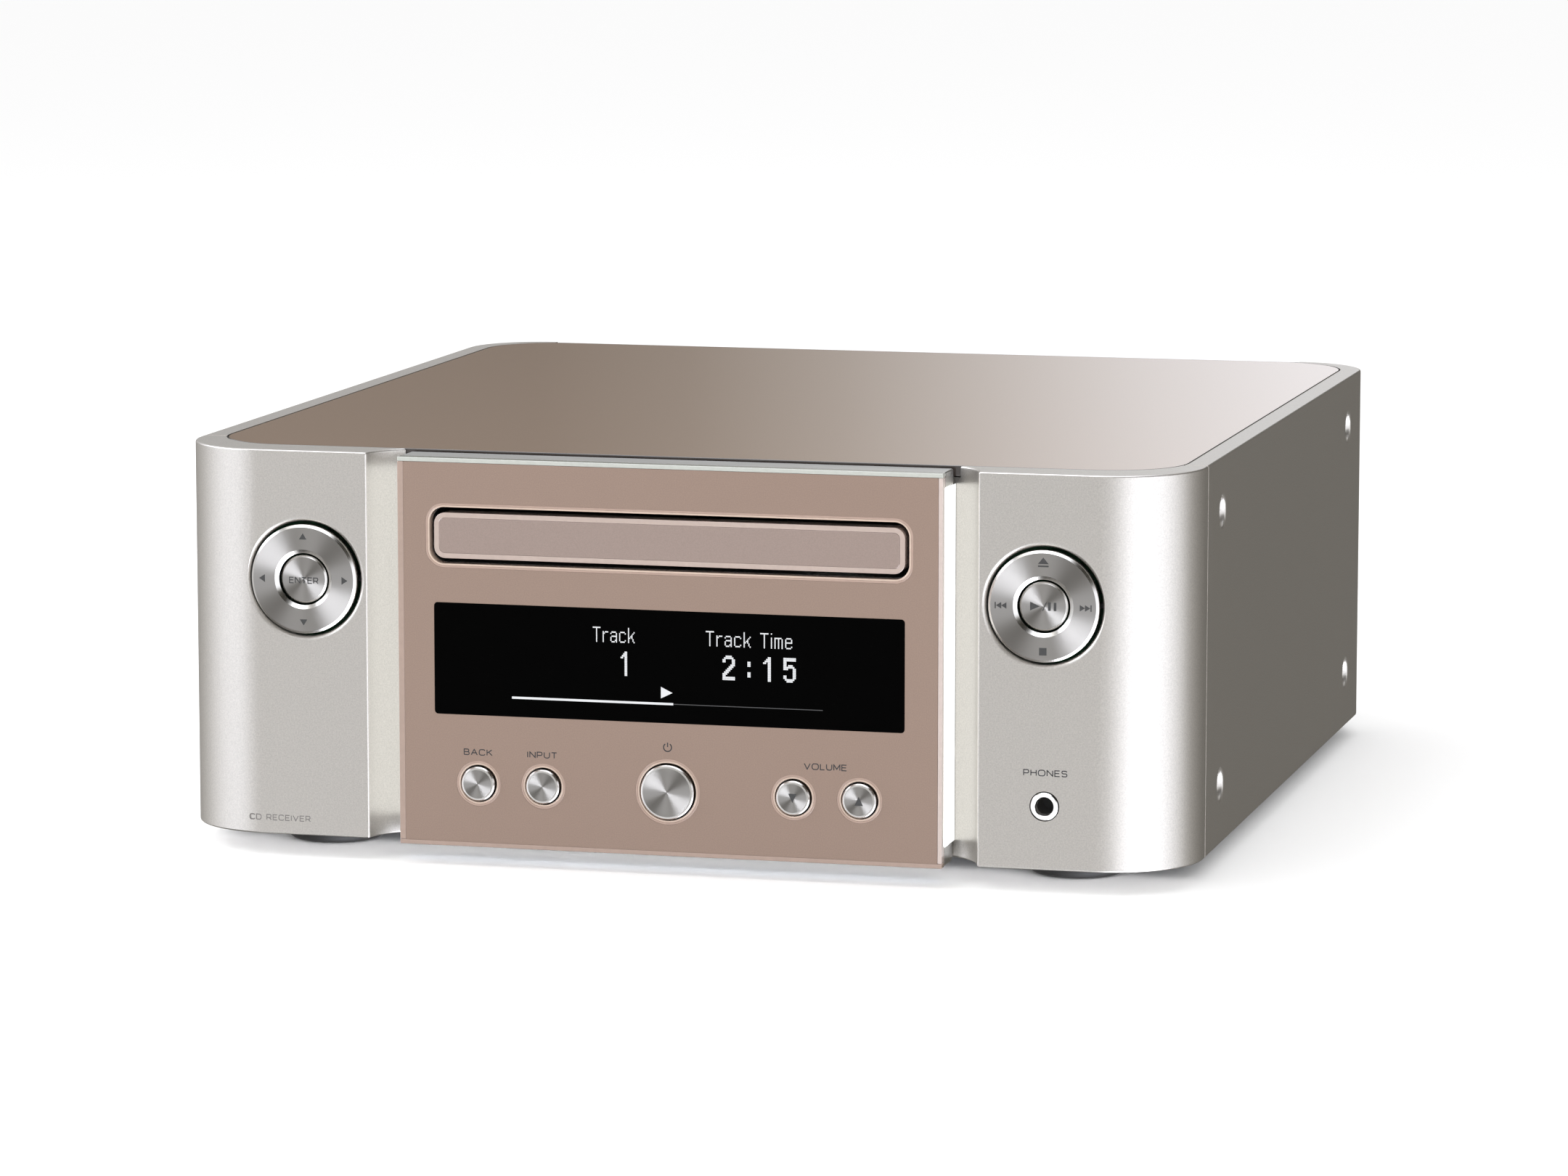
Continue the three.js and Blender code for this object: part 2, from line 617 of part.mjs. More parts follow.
function loaderChassis() {
  const { half, front, back, bottom, top } = LOADER;
  const floor = block([-half, half], [front, back], [bottom, bottom + 2]);
  const pieces = [];
  const tools = [block([-40, 40], [-95, 2], [bottom - 1, bottom + 3])];
  for (const side of [-1, 1]) {
    const wall = spanOn(side, half - 2, half);
    const ledge = spanOn(side, 62, half - 1);
    const tab = spanOn(side, 64.6, half - 1);
    pieces.push(block(wall, [front, back], [bottom, top]));
    pieces.push(block(ledge, [front, back], [82.4, TRAY.bottom - 0.5]));
    for (const y of [-122, -45, 30]) {
      pieces.push(block(tab, [y - 7, y + 7], [88.6, 90.6]));
    }
    for (const y of [front + 14, back - 6]) {
      pieces.push(block(grown([side * 66, side * 66], 4), grown([y, y], 4), [8.2, bottom + 1]));
    }
    const bearing = spanOn(side, 45.5, 49);
    pieces.push(block(bearing, grown([TILT.y, TILT.y], 4.5), [bottom + 1, TILT.z + 4]));
    tools.push(barX([TILT.y, TILT.z], 2.4, grown(bearing, 1)));
  }
  pieces.push(block([-half, half], [back - 2, back], [bottom, 79]));
  pieces.push(barZ([GEAR.x, GEAR.y], 5, [bottom + 1, 75.8]), barZ([GEAR.x, GEAR.y], 2, [75, 85.2]));
  return cut(join(floor, ...pieces), ...tools);
}

function clampBridge() {
  const { half, top } = LOADER;
  const depths = [DISC.y - 20, DISC.y + 20];
  const strap = block([-half, half], depths, [100, 101.6]);
  const feet = [-1, 1].map((side) => {
    const across = spanOn(side, half - 4, half);
    return block(across, depths, [top + GAP, 100.5]);
  });
  return cut(join(strap, ...feet), barZ([0, DISC.y], 15.2, [99, 103], 24));
}

function clamper() {
  const profile = [[0, 94.9], [14.3, 94.9], [14.3, 98.8], [13, 98.8], [13, 102.2], [17.5, 102.2]];
  return turnedZ([0, DISC.y], [...profile, [17.5, 103.7], [0, 103.7]], 20);
}

function traverseChassis() {
  const plate = block([-42, 42], [-98, 10], [68, 70]);
  const tools = [block([-18, 18], [-58, 2], [67, 71])];
  const pieces = [];
  for (const side of [-1, 1]) {
    const ear = spanOn(side, 38, 42);
    const pin = spanOn(side, 41, 48.5);
    pieces.push(block(ear, [9, TILT.y + 3.5], [TILT.z - 3.5, 70]));
    pieces.push(barX([TILT.y, TILT.z], 2, pin));
    for (const end of [RODS.span[0] + 2, RODS.span[1] - 2]) {
      const post = grown([side * RODS.x, side * RODS.x], 3);
      pieces.push(block(post, grown([end, end], 1.5), [69.5, RODS.z + 3.2]));
    }
    tools.push(barY([side * RODS.x, RODS.z], 1.9, [RODS.span[0] - 2, RODS.span[1] + 2]));
  }
  return cut(join(plate, ...pieces), ...tools);
}

function turntable() {
  const profile = [[1.3, 85], [14, 85], [14, 89.3], [7.4, 89.3], [7.4, 90.4], [5, 92]];
  return turnedZ([0, DISC.y], [...profile, [0, 92], [0, 87], [1.3, 87], [1.3, 85]], 20);
}

function spindleMotor() {
  const can = barZ([0, DISC.y], 12, [70.3, 82.4], 20);
  return join(can, barZ([0, DISC.y], 1, [82, 86.6], 12));
}

function laserSled() {
  const y = [-61, -31];
  const body = block([-19, 19], y, [72, 83.3]);
  const lens = barZ([0, -54], 3.6, [83, 87.2]);
  const lugs = [-1, 1].map((side) => {
    const across = spanOn(side, 18.5, RODS.x + 4);
    return block(across, [-50, -40], [RODS.z - 3.6, RODS.z + 3.6]);
  });
  const bores = [-1, 1].map((side) => barY([side * RODS.x, RODS.z], 1.9, y));
  return cut(join(body, lens, ...lugs), ...bores);
}

function addDrive() {
  const door = rounded([-DOOR.half, DOOR.half], DOOR.heights, DOOR.radius);
  add('tray_door', 'door_acrylic', facing(door, DOOR.span));
  add('disc_tray', 'black_plastic', discTray());
  add('loader_chassis', 'grey_plastic', loaderChassis());
  add('clamp_bridge', 'zinc_steel', clampBridge());
  add('clamper', 'white_plastic', clamper());
  add('traverse_chassis', 'zinc_steel', traverseChassis());
  add('spindle_motor', 'nickel', spindleMotor());
  add('turntable', 'black_plastic', turntable());
  add('laser_sled', 'grey_plastic', laserSled());
  add('guide_rod', 'nickel', barY([RODS.x, RODS.z], 1.5, RODS.span, 16));
  add('sled_screw', 'nickel', barY([-RODS.x, RODS.z], 1.5, RODS.span, 16));
  add('sled_motor', 'nickel', barY([-36, 77], 5.5, [-58, -38]));
  const shaft = barZ([MOTOR.x, MOTOR.y], 1, [75, 81.8], 12);
  add('loading_motor', 'nickel', join(barZ([MOTOR.x, MOTOR.y], 9.5, [56.4, 75.6], 16), shaft));
  const wheel = join(
    upright(gearOutline(), [82, TRAY.bottom - 0.5]),
    barZ([GEAR.x, GEAR.y], 14.6, [81, RACK_BOTTOM - GAP], 24),
    barZ([GEAR.x, GEAR.y], GEAR.pulley, [77.2, 81.2], 24),
    barZ([GEAR.x, GEAR.y], 14.6, [76.2, 77.4], 24),
  );
  add('loading_gear', 'white_plastic', cut(wheel, barZ([GEAR.x, GEAR.y], 2.3, [70, 86])));
  const pulley = barZ([MOTOR.x, MOTOR.y], MOTOR.pulley, [76.8, 81.4], 12);
  add('motor_pulley', 'white_plastic', cut(pulley, barZ([MOTOR.x, MOTOR.y], 1.3, [76, 82], 12)));
  const belt = beltOutline(new THREE.Shape(), GEAR.pulley + 1.8, MOTOR.pulley + 1.8);
  belt.holes.push(beltOutline(new THREE.Path(), GEAR.pulley + GAP, MOTOR.pulley + GAP));
  add('loading_belt', 'rubber', upright(belt, [78.3, 80.1]));
}

// ---------------------------------------------------------------- electronics and rear sockets

function mainBoard() {
  const pieces = [block([-70, 76], [52, 128], [12, 13.6])];
  for (const x of [-52, -32]) {
    pieces.push(barZ([x, 70], 7.5, [13, 42]));
  }
  for (const [x, y] of [[0, 76], [30, 92], [56, 72]]) {
    pieces.push(block(grown([x, x], 9), grown([y, y], 9), [13, 16]));
  }
  return join(...pieces);
}

function powerSupply() {
  return join(
    block([-130, -78], [-50, 90], [12, 13.6]),
    block([-126, -84], [-6, 34], [13, 50]),
    barZ([-106, 58], 11, [13, 48]),
    barZ([-96, -30], 9, [13, 40]),
  );
}

function heatSink() {
  const pieces = [block([82, 86], [-60, 60], [12, 78])];
  for (let y = -58; y <= 57; y += 14.2) {
    pieces.push(block([85, 126], [y, y + 1.6], [13, 77]));
  }
  return join(...pieces);
}

function speakerTerminals() {
  const { across, heights } = SPEAKERS;
  const base = [REAR - 0.2, REAR + 1.8];
  const pieces = [block(across, base, heights)];
  pieces.push(block(grown(across, -4), [REAR - 12, base[0] + 0.5], grown(heights, -3)));
  for (let column = 0; column < 4; column += 1) {
    for (const z of [27, 43]) {
      pieces.push(barY([across[0] + 14 + 24 * column, z], 5.6, [base[1] - 0.5, REAR + TERMINAL_PROUD], 12));
    }
  }
  return join(...pieces);
}

function audioJacks() {
  const { across, heights } = AUDIO;
  const base = [REAR - 0.2, REAR + 1.2];
  const pieces = [block(across, base, heights)];
  const bores = [];
  pieces.push(block(grown(across, -4), [REAR - 12, base[0] + 0.5], grown(heights, -3)));
  for (const x of [14, 33, 52]) {
    for (const z of [27, 43]) {
      pieces.push(barY([x, z], 4.15, [base[1] - 0.5, REAR + TERMINAL_PROUD], 12));
      bores.push(barY([x, z], 1.6, [REAR - 2, REAR + TERMINAL_PROUD + 1], 6));
    }
  }
  return cut(join(...pieces), ...bores);
}

function networkJacks() {
  const { across, heights } = NETWORK;
  const body = block(across, [REAR - 16, REAR + 1.5], heights);
  const mouth = [REAR - 13, REAR + 3];
  return cut(body, block([71, 83], mouth, [21, 29.6]), block([70.4, 83.6], mouth, [39.6, 45.6]));
}

function powerInlet() {
  const { across, heights } = INLET;
  const x = (across[0] + across[1]) / 2;
  const z = (heights[0] + heights[1]) / 2;
  const body = block(across, [REAR - 15, REAR + 2], heights);
  const mouth = facing(rounded([x - 9.2, x + 9.2], [z - 4.8, z + 4.8], 4), [REAR - 11, REAR + 3]);
  const pins = [-4.3, 4.3].map((offset) => barY([x + offset, z], 1.2, [REAR - 12, REAR - 2], 12));
  return join(cut(body, mouth), ...pins);
}

function addElectronics() {
  add('main_board', 'circuit_board', mainBoard());
  add('power_supply', 'circuit_board', powerSupply());
  add('heat_sink', 'heat_aluminium', heatSink());
  add('speaker_terminals', 'black_plastic', speakerTerminals());
  add('audio_jacks', 'nickel', audioJacks());
  add('network_jacks', 'nickel', networkJacks());
  add('power_inlet', 'black_plastic', powerInlet());
}

addCase();
addCentre();
addKeys();
addDrive();
addElectronics();

export default player;
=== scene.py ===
"""Looks of a compact CD receiver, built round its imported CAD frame.

Places are in millimetres in the row frame, where Y runs to the rear, and become metres in mesh().
Only the lamps are placed in metres.
"""

import math

import bmesh
import bpy
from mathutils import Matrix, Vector


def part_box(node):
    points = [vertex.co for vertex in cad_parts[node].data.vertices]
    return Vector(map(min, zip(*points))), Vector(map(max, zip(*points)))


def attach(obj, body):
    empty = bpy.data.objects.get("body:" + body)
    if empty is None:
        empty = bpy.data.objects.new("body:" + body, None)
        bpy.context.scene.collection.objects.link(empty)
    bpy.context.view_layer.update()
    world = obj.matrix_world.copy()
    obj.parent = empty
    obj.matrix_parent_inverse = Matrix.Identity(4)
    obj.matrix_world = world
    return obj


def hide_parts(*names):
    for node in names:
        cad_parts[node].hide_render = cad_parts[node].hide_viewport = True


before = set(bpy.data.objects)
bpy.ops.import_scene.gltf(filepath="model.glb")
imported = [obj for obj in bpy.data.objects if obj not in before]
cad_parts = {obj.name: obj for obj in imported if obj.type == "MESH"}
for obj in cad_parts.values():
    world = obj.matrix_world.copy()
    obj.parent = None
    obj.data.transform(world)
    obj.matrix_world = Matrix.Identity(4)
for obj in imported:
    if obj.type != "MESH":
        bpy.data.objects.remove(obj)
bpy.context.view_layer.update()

MM = 0.001
CABINET = "cabinet"


def span(node, axis):
    """A CAD node's lowest and highest place on an axis, in millimetres."""
    low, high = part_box(node)
    return low[axis] / MM, high[axis] / MM


def middle(node, axis):
    return sum(span(node, axis)) / 2


def round_place(node):
    """Where a round node's axis stands across the front, and its radius."""
    low, high = span(node, 0)
    return (low + high) / 2, (high - low) / 2


SIDE = span("right_side_panel", 0)[1]
FACE = span("front_panel", 1)[0]
SEAM = span("front_panel", 1)[1]
REAR = span("right_side_panel", 1)[1]
BOTTOM, TOP = span("front_panel", 2)
PLATE_FRONT, PLATE_BACK = span("front_window", 1)
PLATE_HALF = span("front_window", 0)[1]
PLATE_BOTTOM, PLATE_TOP = span("front_window", 2)
BUTTON_FRONT = span("power_button", 1)[0]
RING_X = 101.9
RING_Z = middle("cursor_ring", 2)
BUTTON_Z = middle("power_button", 2)

FRONT_RADIUS = 25
REAR_RADIUS = 22
WALL = 3
WING_EDGE = 84.2
COVE_RADIUS = 17
COVE_OFFSET = 2.6
WEB = FACE + 13
SEAM_GAP = 0.3
EDGE_ROUND = 0.5  # of the case; then those of the lid, the plate, its clear edges, the door and the strips
LID_ROUND = 0.25
PLATE_ROUND = 0.12
BAR_ROUND = 0.25
DOOR_ROUND = 0.18
STRIP_ROUND = 0.08
STRIP_FACES = (0.02, 0.3)  # out from the light guide's side
LID_FLOOR = TOP - 3.1
LID_RADIUS = 21
LID_GAP = 0.4
TRAY_WAY = ((-67.5, 67.5), (80.6, 98.6))  # the front's opening behind the block, across and up
SLOT_HALF, SLOT_UP, SLOT_RADIUS = 66, (82, 97.2), 4
SCREEN_WINDOW = ((-64.9, 64.9), (41.2, 71.5))
PLATE_CORNER = 0.3
EDGES = (1.7, 1.2, 1.3, 1.2)  # widths of the plate's clear left, right, bottom and top edges
LETTER_DEPTH = 0.03
PUSH_BUTTONS = ["back_button", "input_button", "power_button", "volume_down_button", "volume_up_button"]
BUTTON_GAP = 0.45
RIM = 1.1
STEM = 2.2  # radius of a key behind its cap
SIDE_SCREWS = range(1, 5)
SCREW_INSET = 1.55  # from the side to where a screw's head is placed
SCREW_CROSS = ((1.7, 0.35), (0.35, 1.7))  # half the length and width of each arm
SOCKET_HEIGHTS = (27, 43)
LINE_SOCKETS = (14, 33, 52)
POST_START, POST_PITCH = 14, 24

# Profiles of turned shapes, as (radius, how far towards the rear from the front face).
RING_WELL = [(0, -1), (17.9, -1), (16.9, 0), (16.2, 0.35), (15.75, 0.9), (15.6, 1.5), (15.6, 5), (0, 5)]
JACK_HOLE = [(0, -1), (4, -1), (4, 5), (0, 5)]
JACK_DEPTH = [(0, 8.6), (2.04, 8.6), (2.04, 8.9), (0, 8.9)]
# The same from the rear panel, and then as (radius, height out of the side).
LINE_RING = [(4.3, 1.25), (5.6, 1.25), (5.6, 1.7), (4.3, 1.9)]
DIMPLE = [(0, -2), (3.6, -2), (4.3, -0.5), (4.6, -0.15), (5.1, 0), (5.1, 2), (0, 2)]
SCREW_HEAD = [(0, 0.4), (1.4, 0.34), (2.6, 0.12), (3.3, -0.2), (3.4, -0.4), (0, -0.4)]


# ---------------------------------------------------------------- shapes


def arc(centre, radius, start, end, steps=20):
    """Points along an arc, with its angles in degrees."""
    points = []
    for step in range(steps + 1):
        angle = math.radians(start + (end - start) * step / steps)
        points.append((centre[0] + radius * math.cos(angle), centre[1] + radius * math.sin(angle)))
    return points


def rounded(across, up, near, far=None, steps=16):
    """A rectangle with round corners; those at the high end of the second axis may differ."""
    far = near if far is None else far
    (a0, a1), (b0, b1) = across, up
    return (
        arc((a0 + near, b0 + near), near, 180, 270, steps)
        + arc((a1 - near, b0 + near), near, 270, 360, steps)
        + arc((a1 - far, b1 - far), far, 0, 90, steps)
        + arc((a0 + far, b1 - far), far, 90, 180, steps)
    )


def circle(centre, radius, steps=64):
    return arc(centre, radius, 0, 360, steps)[:-1]


def box_outline(x0, x1, z0, z1):
    return [(x0, z0), (x1, z0), (x1, z1), (x0, z1)]


def triangle(x, z, across, up, direction):
    """A triangle about a place that points left, right, up or down."""
    a, b = across / 2, up / 2
    shapes = {
        "right": [(x - a, z - b), (x + a, z), (x - a, z + b)],
        "left": [(x + a, z - b), (x + a, z + b), (x - a, z)],
        "up": [(x - a, z - b), (x + a, z - b), (x, z + b)],
        "down": [(x - a, z + b), (x, z - b), (x + a, z + b)],
    }
    return shapes[direction]


def set_back(profile, depth):
    return [(radius, depth + y) for radius, y in profile]


def mesh(name, points, faces, origin=(0, 0, 0)):
    """A mesh object whose points are in millimetres, with its origin at its own centre."""
    data = bpy.data.meshes.new(name)
    local = [[(p[i] - origin[i]) * MM for i in range(3)] for p in points]
    data.from_pydata(local, [], faces)
    tool = bmesh.new()
    tool.from_mesh(data)
    bmesh.ops.remove_doubles(tool, verts=tool.verts, dist=1e-7)
    bmesh.ops.recalc_face_normals(tool, faces=tool.faces)
    tool.to_mesh(data)
    tool.free()
    piece = bpy.data.objects.new(name, data)
    piece.location = [value * MM for value in origin]
    bpy.context.scene.collection.objects.link(piece)
    return piece


def prism(name, outline, low, high, place):
    """An outline between two ends; place turns its two numbers and an end into a point."""
    count = len(outline)
    points = [place(a, b, low) for a, b in outline] + [place(a, b, high) for a, b in outline]
    faces = [tuple(range(count)), tuple(range(count, 2 * count))]
    for i in range(count):
        j = (i + 1) % count
        faces.append((i, j, j + count, i + count))
    return mesh(name, points, faces)


def upright(name, outline, low, high):
    return prism(name, outline, low, high, lambda a, b, end: (a, b, end))


def facing(name, outline, front, back):
    return prism(name, outline, front, back, lambda a, b, end: (a, end, b))


def band(name, outer, inner, front, back):
    """What lies between two outlines of equally many points, facing the front."""
    count = len(outer)
    points = [(a, end, b) for end in (front, back) for outline in (outer, inner) for a, b in outline]
    faces = []
    for i in range(count):
        j = (i + 1) % count
        for one, two in ((0, 1), (2, 3), (0, 2), (1, 3)):
            one, two = one * count, two * count
            faces.append((one + i, one + j, two + j, two + i))
    return mesh(name, points, faces)


def turned(name, centre, profile, steps=96, closed=False):
    """A profile of (radius, depth) turned about an axis along Y through centre, an (x, z) place."""
    x, z = centre
    points, faces, rows = [], [], []
    for radius, y in profile:
        if radius == 0:
            rows.append([len(points)] * steps)
            points.append((x, y, z))
            continue
        rows.append(list(range(len(points), len(points) + steps)))
        for step in range(steps):
            angle = 2 * math.pi * step / steps
            points.append((x + radius * math.cos(angle), y, z + radius * math.sin(angle)))
    pairs = list(zip(rows, rows[1:]))
    if closed:
        pairs.append((rows[-1], rows[0]))
    for one, two in pairs:
        for i in range(steps):
            j = (i + 1) % steps
            face = list(dict.fromkeys((one[i], one[j], two[j], two[i])))
            if len(face) > 2:
                faces.append(face)
    depths = [y for _, y in profile]
    return mesh(name, points, faces, (x, (min(depths) + max(depths)) / 2, z))


def turned_up(name, centre, profile, steps=72):
    """A profile of (radius, height) turned about an upright axis."""
    x, y = centre
    points, faces = [], []
    for radius, z in profile:
        for step in range(steps):
            angle = 2 * math.pi * step / steps
            points.append((x + radius * math.cos(angle), y + radius * math.sin(angle), z))
    for row in range(len(profile) - 1):
        for i in range(steps):
            j = (i + 1) % steps
            base = row * steps
            faces.append((base + i, base + j, base + j + steps, base + i + steps))
    heights = [z for _, z in profile]
    return mesh(name, points, faces, (x, y, (min(heights) + max(heights)) / 2))


def apply_modifiers(piece):
    graph = bpy.context.evaluated_depsgraph_get()
    data = bpy.data.meshes.new_from_object(piece.evaluated_get(graph))
    piece.modifiers.clear()
    piece.data = data


def carve(piece, cutters, operation="DIFFERENCE"):
    """Cuts each of the cutters out of a piece, and removes them."""
    for cutter in cutters:
        modifier = piece.modifiers.new("carve", "BOOLEAN")
        modifier.operation = operation
        modifier.solver = "EXACT"
        modifier.object = cutter
        apply_modifiers(piece)
        bpy.data.objects.remove(cutter)
    return piece


def soften(piece, width, sharpest=35, weigh=False):
    """A small round on every edge sharper than the angle, and smooth shading between the rest."""
    if width:
        modifier = piece.modifiers.new("soften", "BEVEL")
        modifier.width = width * MM
        modifier.segments = 3
        modifier.limit_method = "ANGLE"
        modifier.angle_limit = math.radians(sharpest)
        modifier.harden_normals = False
        apply_modifiers(piece)
    piece.data.polygons.foreach_set("use_smooth", [True] * len(piece.data.polygons))
    piece.data.set_sharp_from_angle(angle=math.radians(sharpest))
    if width or weigh:
        modifier = piece.modifiers.new("weigh", "WEIGHTED_NORMAL")
        modifier.keep_sharp = True
        modifier.weight = 100
        apply_modifiers(piece)
    return piece


def settle(piece, body, slot, materials, *nodes):
    """Gives a piece its materials, and lets it ride on its body in place of CAD nodes; the slot is not used.
    """
    piece.data.materials.clear()
    for material in materials if isinstance(materials, list) else [materials]:
        piece.data.materials.append(material)
    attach(piece, body)
    if nodes:
        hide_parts(*nodes)
    return piece


# ---------------------------------------------------------------- materials


def material(name, colour, roughness, metallic=0.0, **values):
    """A material and its shader, with every constant set on the shader's own sockets."""
    made = bpy.data.materials.new(name)
    made.use_nodes = True
    shader = made.node_tree.nodes["Principled BSDF"]
    shader.inputs["Base Color"].default_value = (*colour, 1)
    shader.inputs["Roughness"].default_value = roughness
    shader.inputs["Metallic"].default_value = metallic
    for key, value in values.items():
        shader.inputs[key.replace("_", " ")].default_value = value
    return made, shader


def add_node(made, kind, **values):
    node = made.node_tree.nodes.new(kind)
    for key, value in values.items():
        node.inputs[key.replace("_", " ")].default_value = value
    return node


def grain(made, shader, scale, strength, depth, stretch=(1, 1, 1), tint=0.0, detail=3):
    """Fine grain in the surface: a bump from noise, and the same noise as a slight tint."""
    link = made.node_tree.links.new
    place = add_node(made, "ShaderNodeTexCoord")
    spread = add_node(made, "ShaderNodeMapping", Scale=stretch)
    noise = add_node(made, "ShaderNodeTexNoise", Scale=scale, Detail=detail)
    bump = add_node(made, "ShaderNodeBump", Strength=strength, Distance=depth * MM)
    link(place.outputs["Object"], spread.inputs["Vector"])
    link(spread.outputs["Vector"], noise.inputs["Vector"])
    link(noise.outputs["Fac"], bump.inputs["Height"])
    link(bump.outputs["Normal"], shader.inputs["Normal"])
    if tint:
        ramp = add_node(made, "ShaderNodeValToRGB")
        base = shader.inputs["Base Color"].default_value[:3]
        for element, place_on, share in zip(ramp.color_ramp.elements, (0.3, 0.7), (1 - tint, 1 + tint)):
            element.position = place_on
            element.color = (*[min(1, value * share) for value in base], 1)
        link(noise.outputs["Fac"], ramp.inputs["Fac"])
        link(ramp.outputs["Color"], shader.inputs["Base Color"])


def silver_paint():
    colour = (0.62, 0.59, 0.552)
    made, shader = material("silver_paint", colour, 0.34, 0.92, Coat_Weight=0.15, Coat_Roughness=0.3)
    grain(made, shader, 2600, 0.25, 0.05, tint=0.09, detail=2)
    return made


def acrylic(name, colour):
    made, shader = material(name, colour, 0.3, 0.35, Coat_Weight=1.0, Coat_Roughness=0.06)
    grain(made, shader, 3200, 0.12, 0.02, tint=0.06, detail=2)
    return made


def acrylic_edge(name, colour):
    made, shader = material(name, colour, 0.15, 0.0, Coat_Weight=1.0, Coat_Roughness=0.05)
    grain(made, shader, 600, 0.05, 0.02, tint=0.04)
    return made


def spun_metal():
    """Bright metal turned on a lathe: fine rings about its own axis, and a stretched highlight."""
    colour = (0.48, 0.458, 0.43)
    made, shader = material("spun_metal", colour, 0.52, 1.0, Anisotropic=1.0, Anisotropic_Rotation=0.25)
    link = made.node_tree.links.new
    place = add_node(made, "ShaderNodeTexCoord")
    rings = add_node(made, "ShaderNodeTexWave", Scale=900, Distortion=0.4, Detail=1)
    rings.wave_type = "RINGS"
    rings.rings_direction = "Y"
    bump = add_node(made, "ShaderNodeBump", Strength=0.18, Distance=0.02 * MM)
    tangent = add_node(made, "ShaderNodeTangent")
    tangent.direction_type = "RADIAL"
    tangent.axis = "Y"
    link(place.outputs["Object"], rings.inputs["Vector"])
    link(rings.outputs["Fac"], bump.inputs["Height"])
    link(bump.outputs["Normal"], shader.inputs["Normal"])
    link(tangent.outputs["Tangent"], shader.inputs["Tangent"])
    return made


def brushed_metal():
    made, shader = material("brushed_metal", (0.75, 0.75, 0.74), 0.3, 1.0)
    grain(made, shader, 900, 0.2, 0.03, stretch=(0.05, 1, 1), tint=0.08)
    return made


def simple(name, colour, roughness, metallic=0.0, scale=900, strength=0.15, tint=0.05, **values):
    made, shader = material(name, colour, roughness, metallic, **values)
    grain(made, shader, scale, strength, 0.04, tint=tint)
    return made


def glowing(name, colour, strength, base):
    made, shader = material(name, (base, base, base), 0.4, Emission_Strength=strength)
    shader.inputs["Emission Color"].default_value = (*colour, 1)
    grain(made, shader, 500, 0.05, 0.02, tint=0.02)
    return made


SILVER = silver_paint()
PLATE = acrylic("brown_plate", (0.288, 0.202, 0.16))
# The top plate is the front plate's brown acrylic made paler: painted light on the lid's top face.
LID_PLATE_LIT = acrylic("brown_lid_lit", (0.42, 0.278, 0.195))
# The door is the plate's acrylic in a greyer, pinker brown: a painted reflection of what its face catches.
DOOR = acrylic("door_plate_reflection", (0.305, 0.233, 0.205))
# The plate's clear border is real, and its green tint is the acrylic's own, but its colours by side are
# painted light: pale on top and on the right as painted highlight, dimmer on the left and bottom as painted
# shade.
EDGE = acrylic_edge("clear_edge", (0.5, 0.42, 0.39))
TOP_EDGE_HIGHLIGHT = acrylic_edge("clear_edge_top_highlight", (0.42, 0.435, 0.405))
# Near-black on the lid's rounded edge and sides: painted shade of the gap round the lid.
LID_EDGE_SHADE = acrylic_edge("lid_edge_shade", (0.035, 0.028, 0.025))
EDGE_SIDE_SHADE = acrylic_edge("clear_edge_side_shade", (0.33, 0.245, 0.205))
# The door's clear border, paler than the door: painted highlight.
DOOR_EDGE = acrylic_edge("door_edge_highlight", (0.4, 0.32, 0.285))
# Pale bands round the holes: painted light for the glow the clear plate carries from their edges.
GLOW = acrylic_edge("lit_rim", (0.5, 0.385, 0.315))
FAINT_GLOW = acrylic_edge("lit_rim_faint", (0.35, 0.25, 0.205))
SPUN = spun_metal()
BRUSHED = brushed_metal()
INK = simple("ink", (0.015, 0.015, 0.018), 0.6)
GREY_INK = simple("grey_ink", (0.035, 0.035, 0.035), 0.6)
PALE_INK = simple("pale_ink", (0.16, 0.15, 0.145), 0.6)
SCREEN = simple("screen", (0.001, 0.001, 0.001), 0.15, scale=200, strength=0.01, Specular_IOR_Level=0.01)
DOTS = glowing("display_dots", (0.95, 0.97, 1.0), 0.85, 0.03)
DIM = glowing("display_dim", (0.5, 0.5, 0.52), 0.12, 0.01)
LIGHT = glowing("light_strip", (0.97, 1.0, 0.98), 1.05, 0.2)
BRIGHT = glowing("bright_strip", (0.97, 1.0, 0.98), 2.2, 0.2)
# A glowing sheet over the dark gap behind the light guide: painted light spilling from the strip, no lamp of
# its own.
SPILL = glowing("light_spill", (0.98, 1.0, 0.98), 1.0, 0.2)
# Near-white, a little blue, on the jack's bright metal collar: painted highlight for its glint.
COLLAR_GLINT = simple("collar_glint", (0.86, 0.87, 0.9), 0.45, 0.2)
RUBBER = simple("rubber", (0.012, 0.011, 0.01), 0.62, scale=700, strength=0.3)
BLACK_STEEL = simple("powder_coat", (0.018, 0.018, 0.019), 0.5, 0.2, scale=1300, strength=0.35)
ZINC = simple("zinc", (0.5, 0.51, 0.52), 0.38, 1.0, scale=160, tint=0.14)
NICKEL = simple("nickel", (0.72, 0.7, 0.67), 0.2, 1.0, scale=400, strength=0.04)
BLACK_PLASTIC = simple("black_plastic", (0.016, 0.016, 0.018), 0.5, scale=1100, strength=0.25)
GREY_PLASTIC = simple("grey_plastic", (0.07, 0.07, 0.075), 0.55, scale=1100, strength=0.2)
ACETAL = simple("acetal", (0.74, 0.73, 0.69), 0.42, strength=0.06, Subsurface_Weight=0.1)
BOARD = simple("solder_mask", (0.015, 0.13, 0.045), 0.4, scale=250, tint=0.2)
FINS = simple("anodised_fins", (0.33, 0.34, 0.35), 0.42, 0.9, scale=300)
RED = simple("red_plastic", (0.42, 0.012, 0.014), 0.4)
WHITE_PLASTIC = simple("white_plastic", (0.75, 0.75, 0.73), 0.45)


# ---------------------------------------------------------------- case


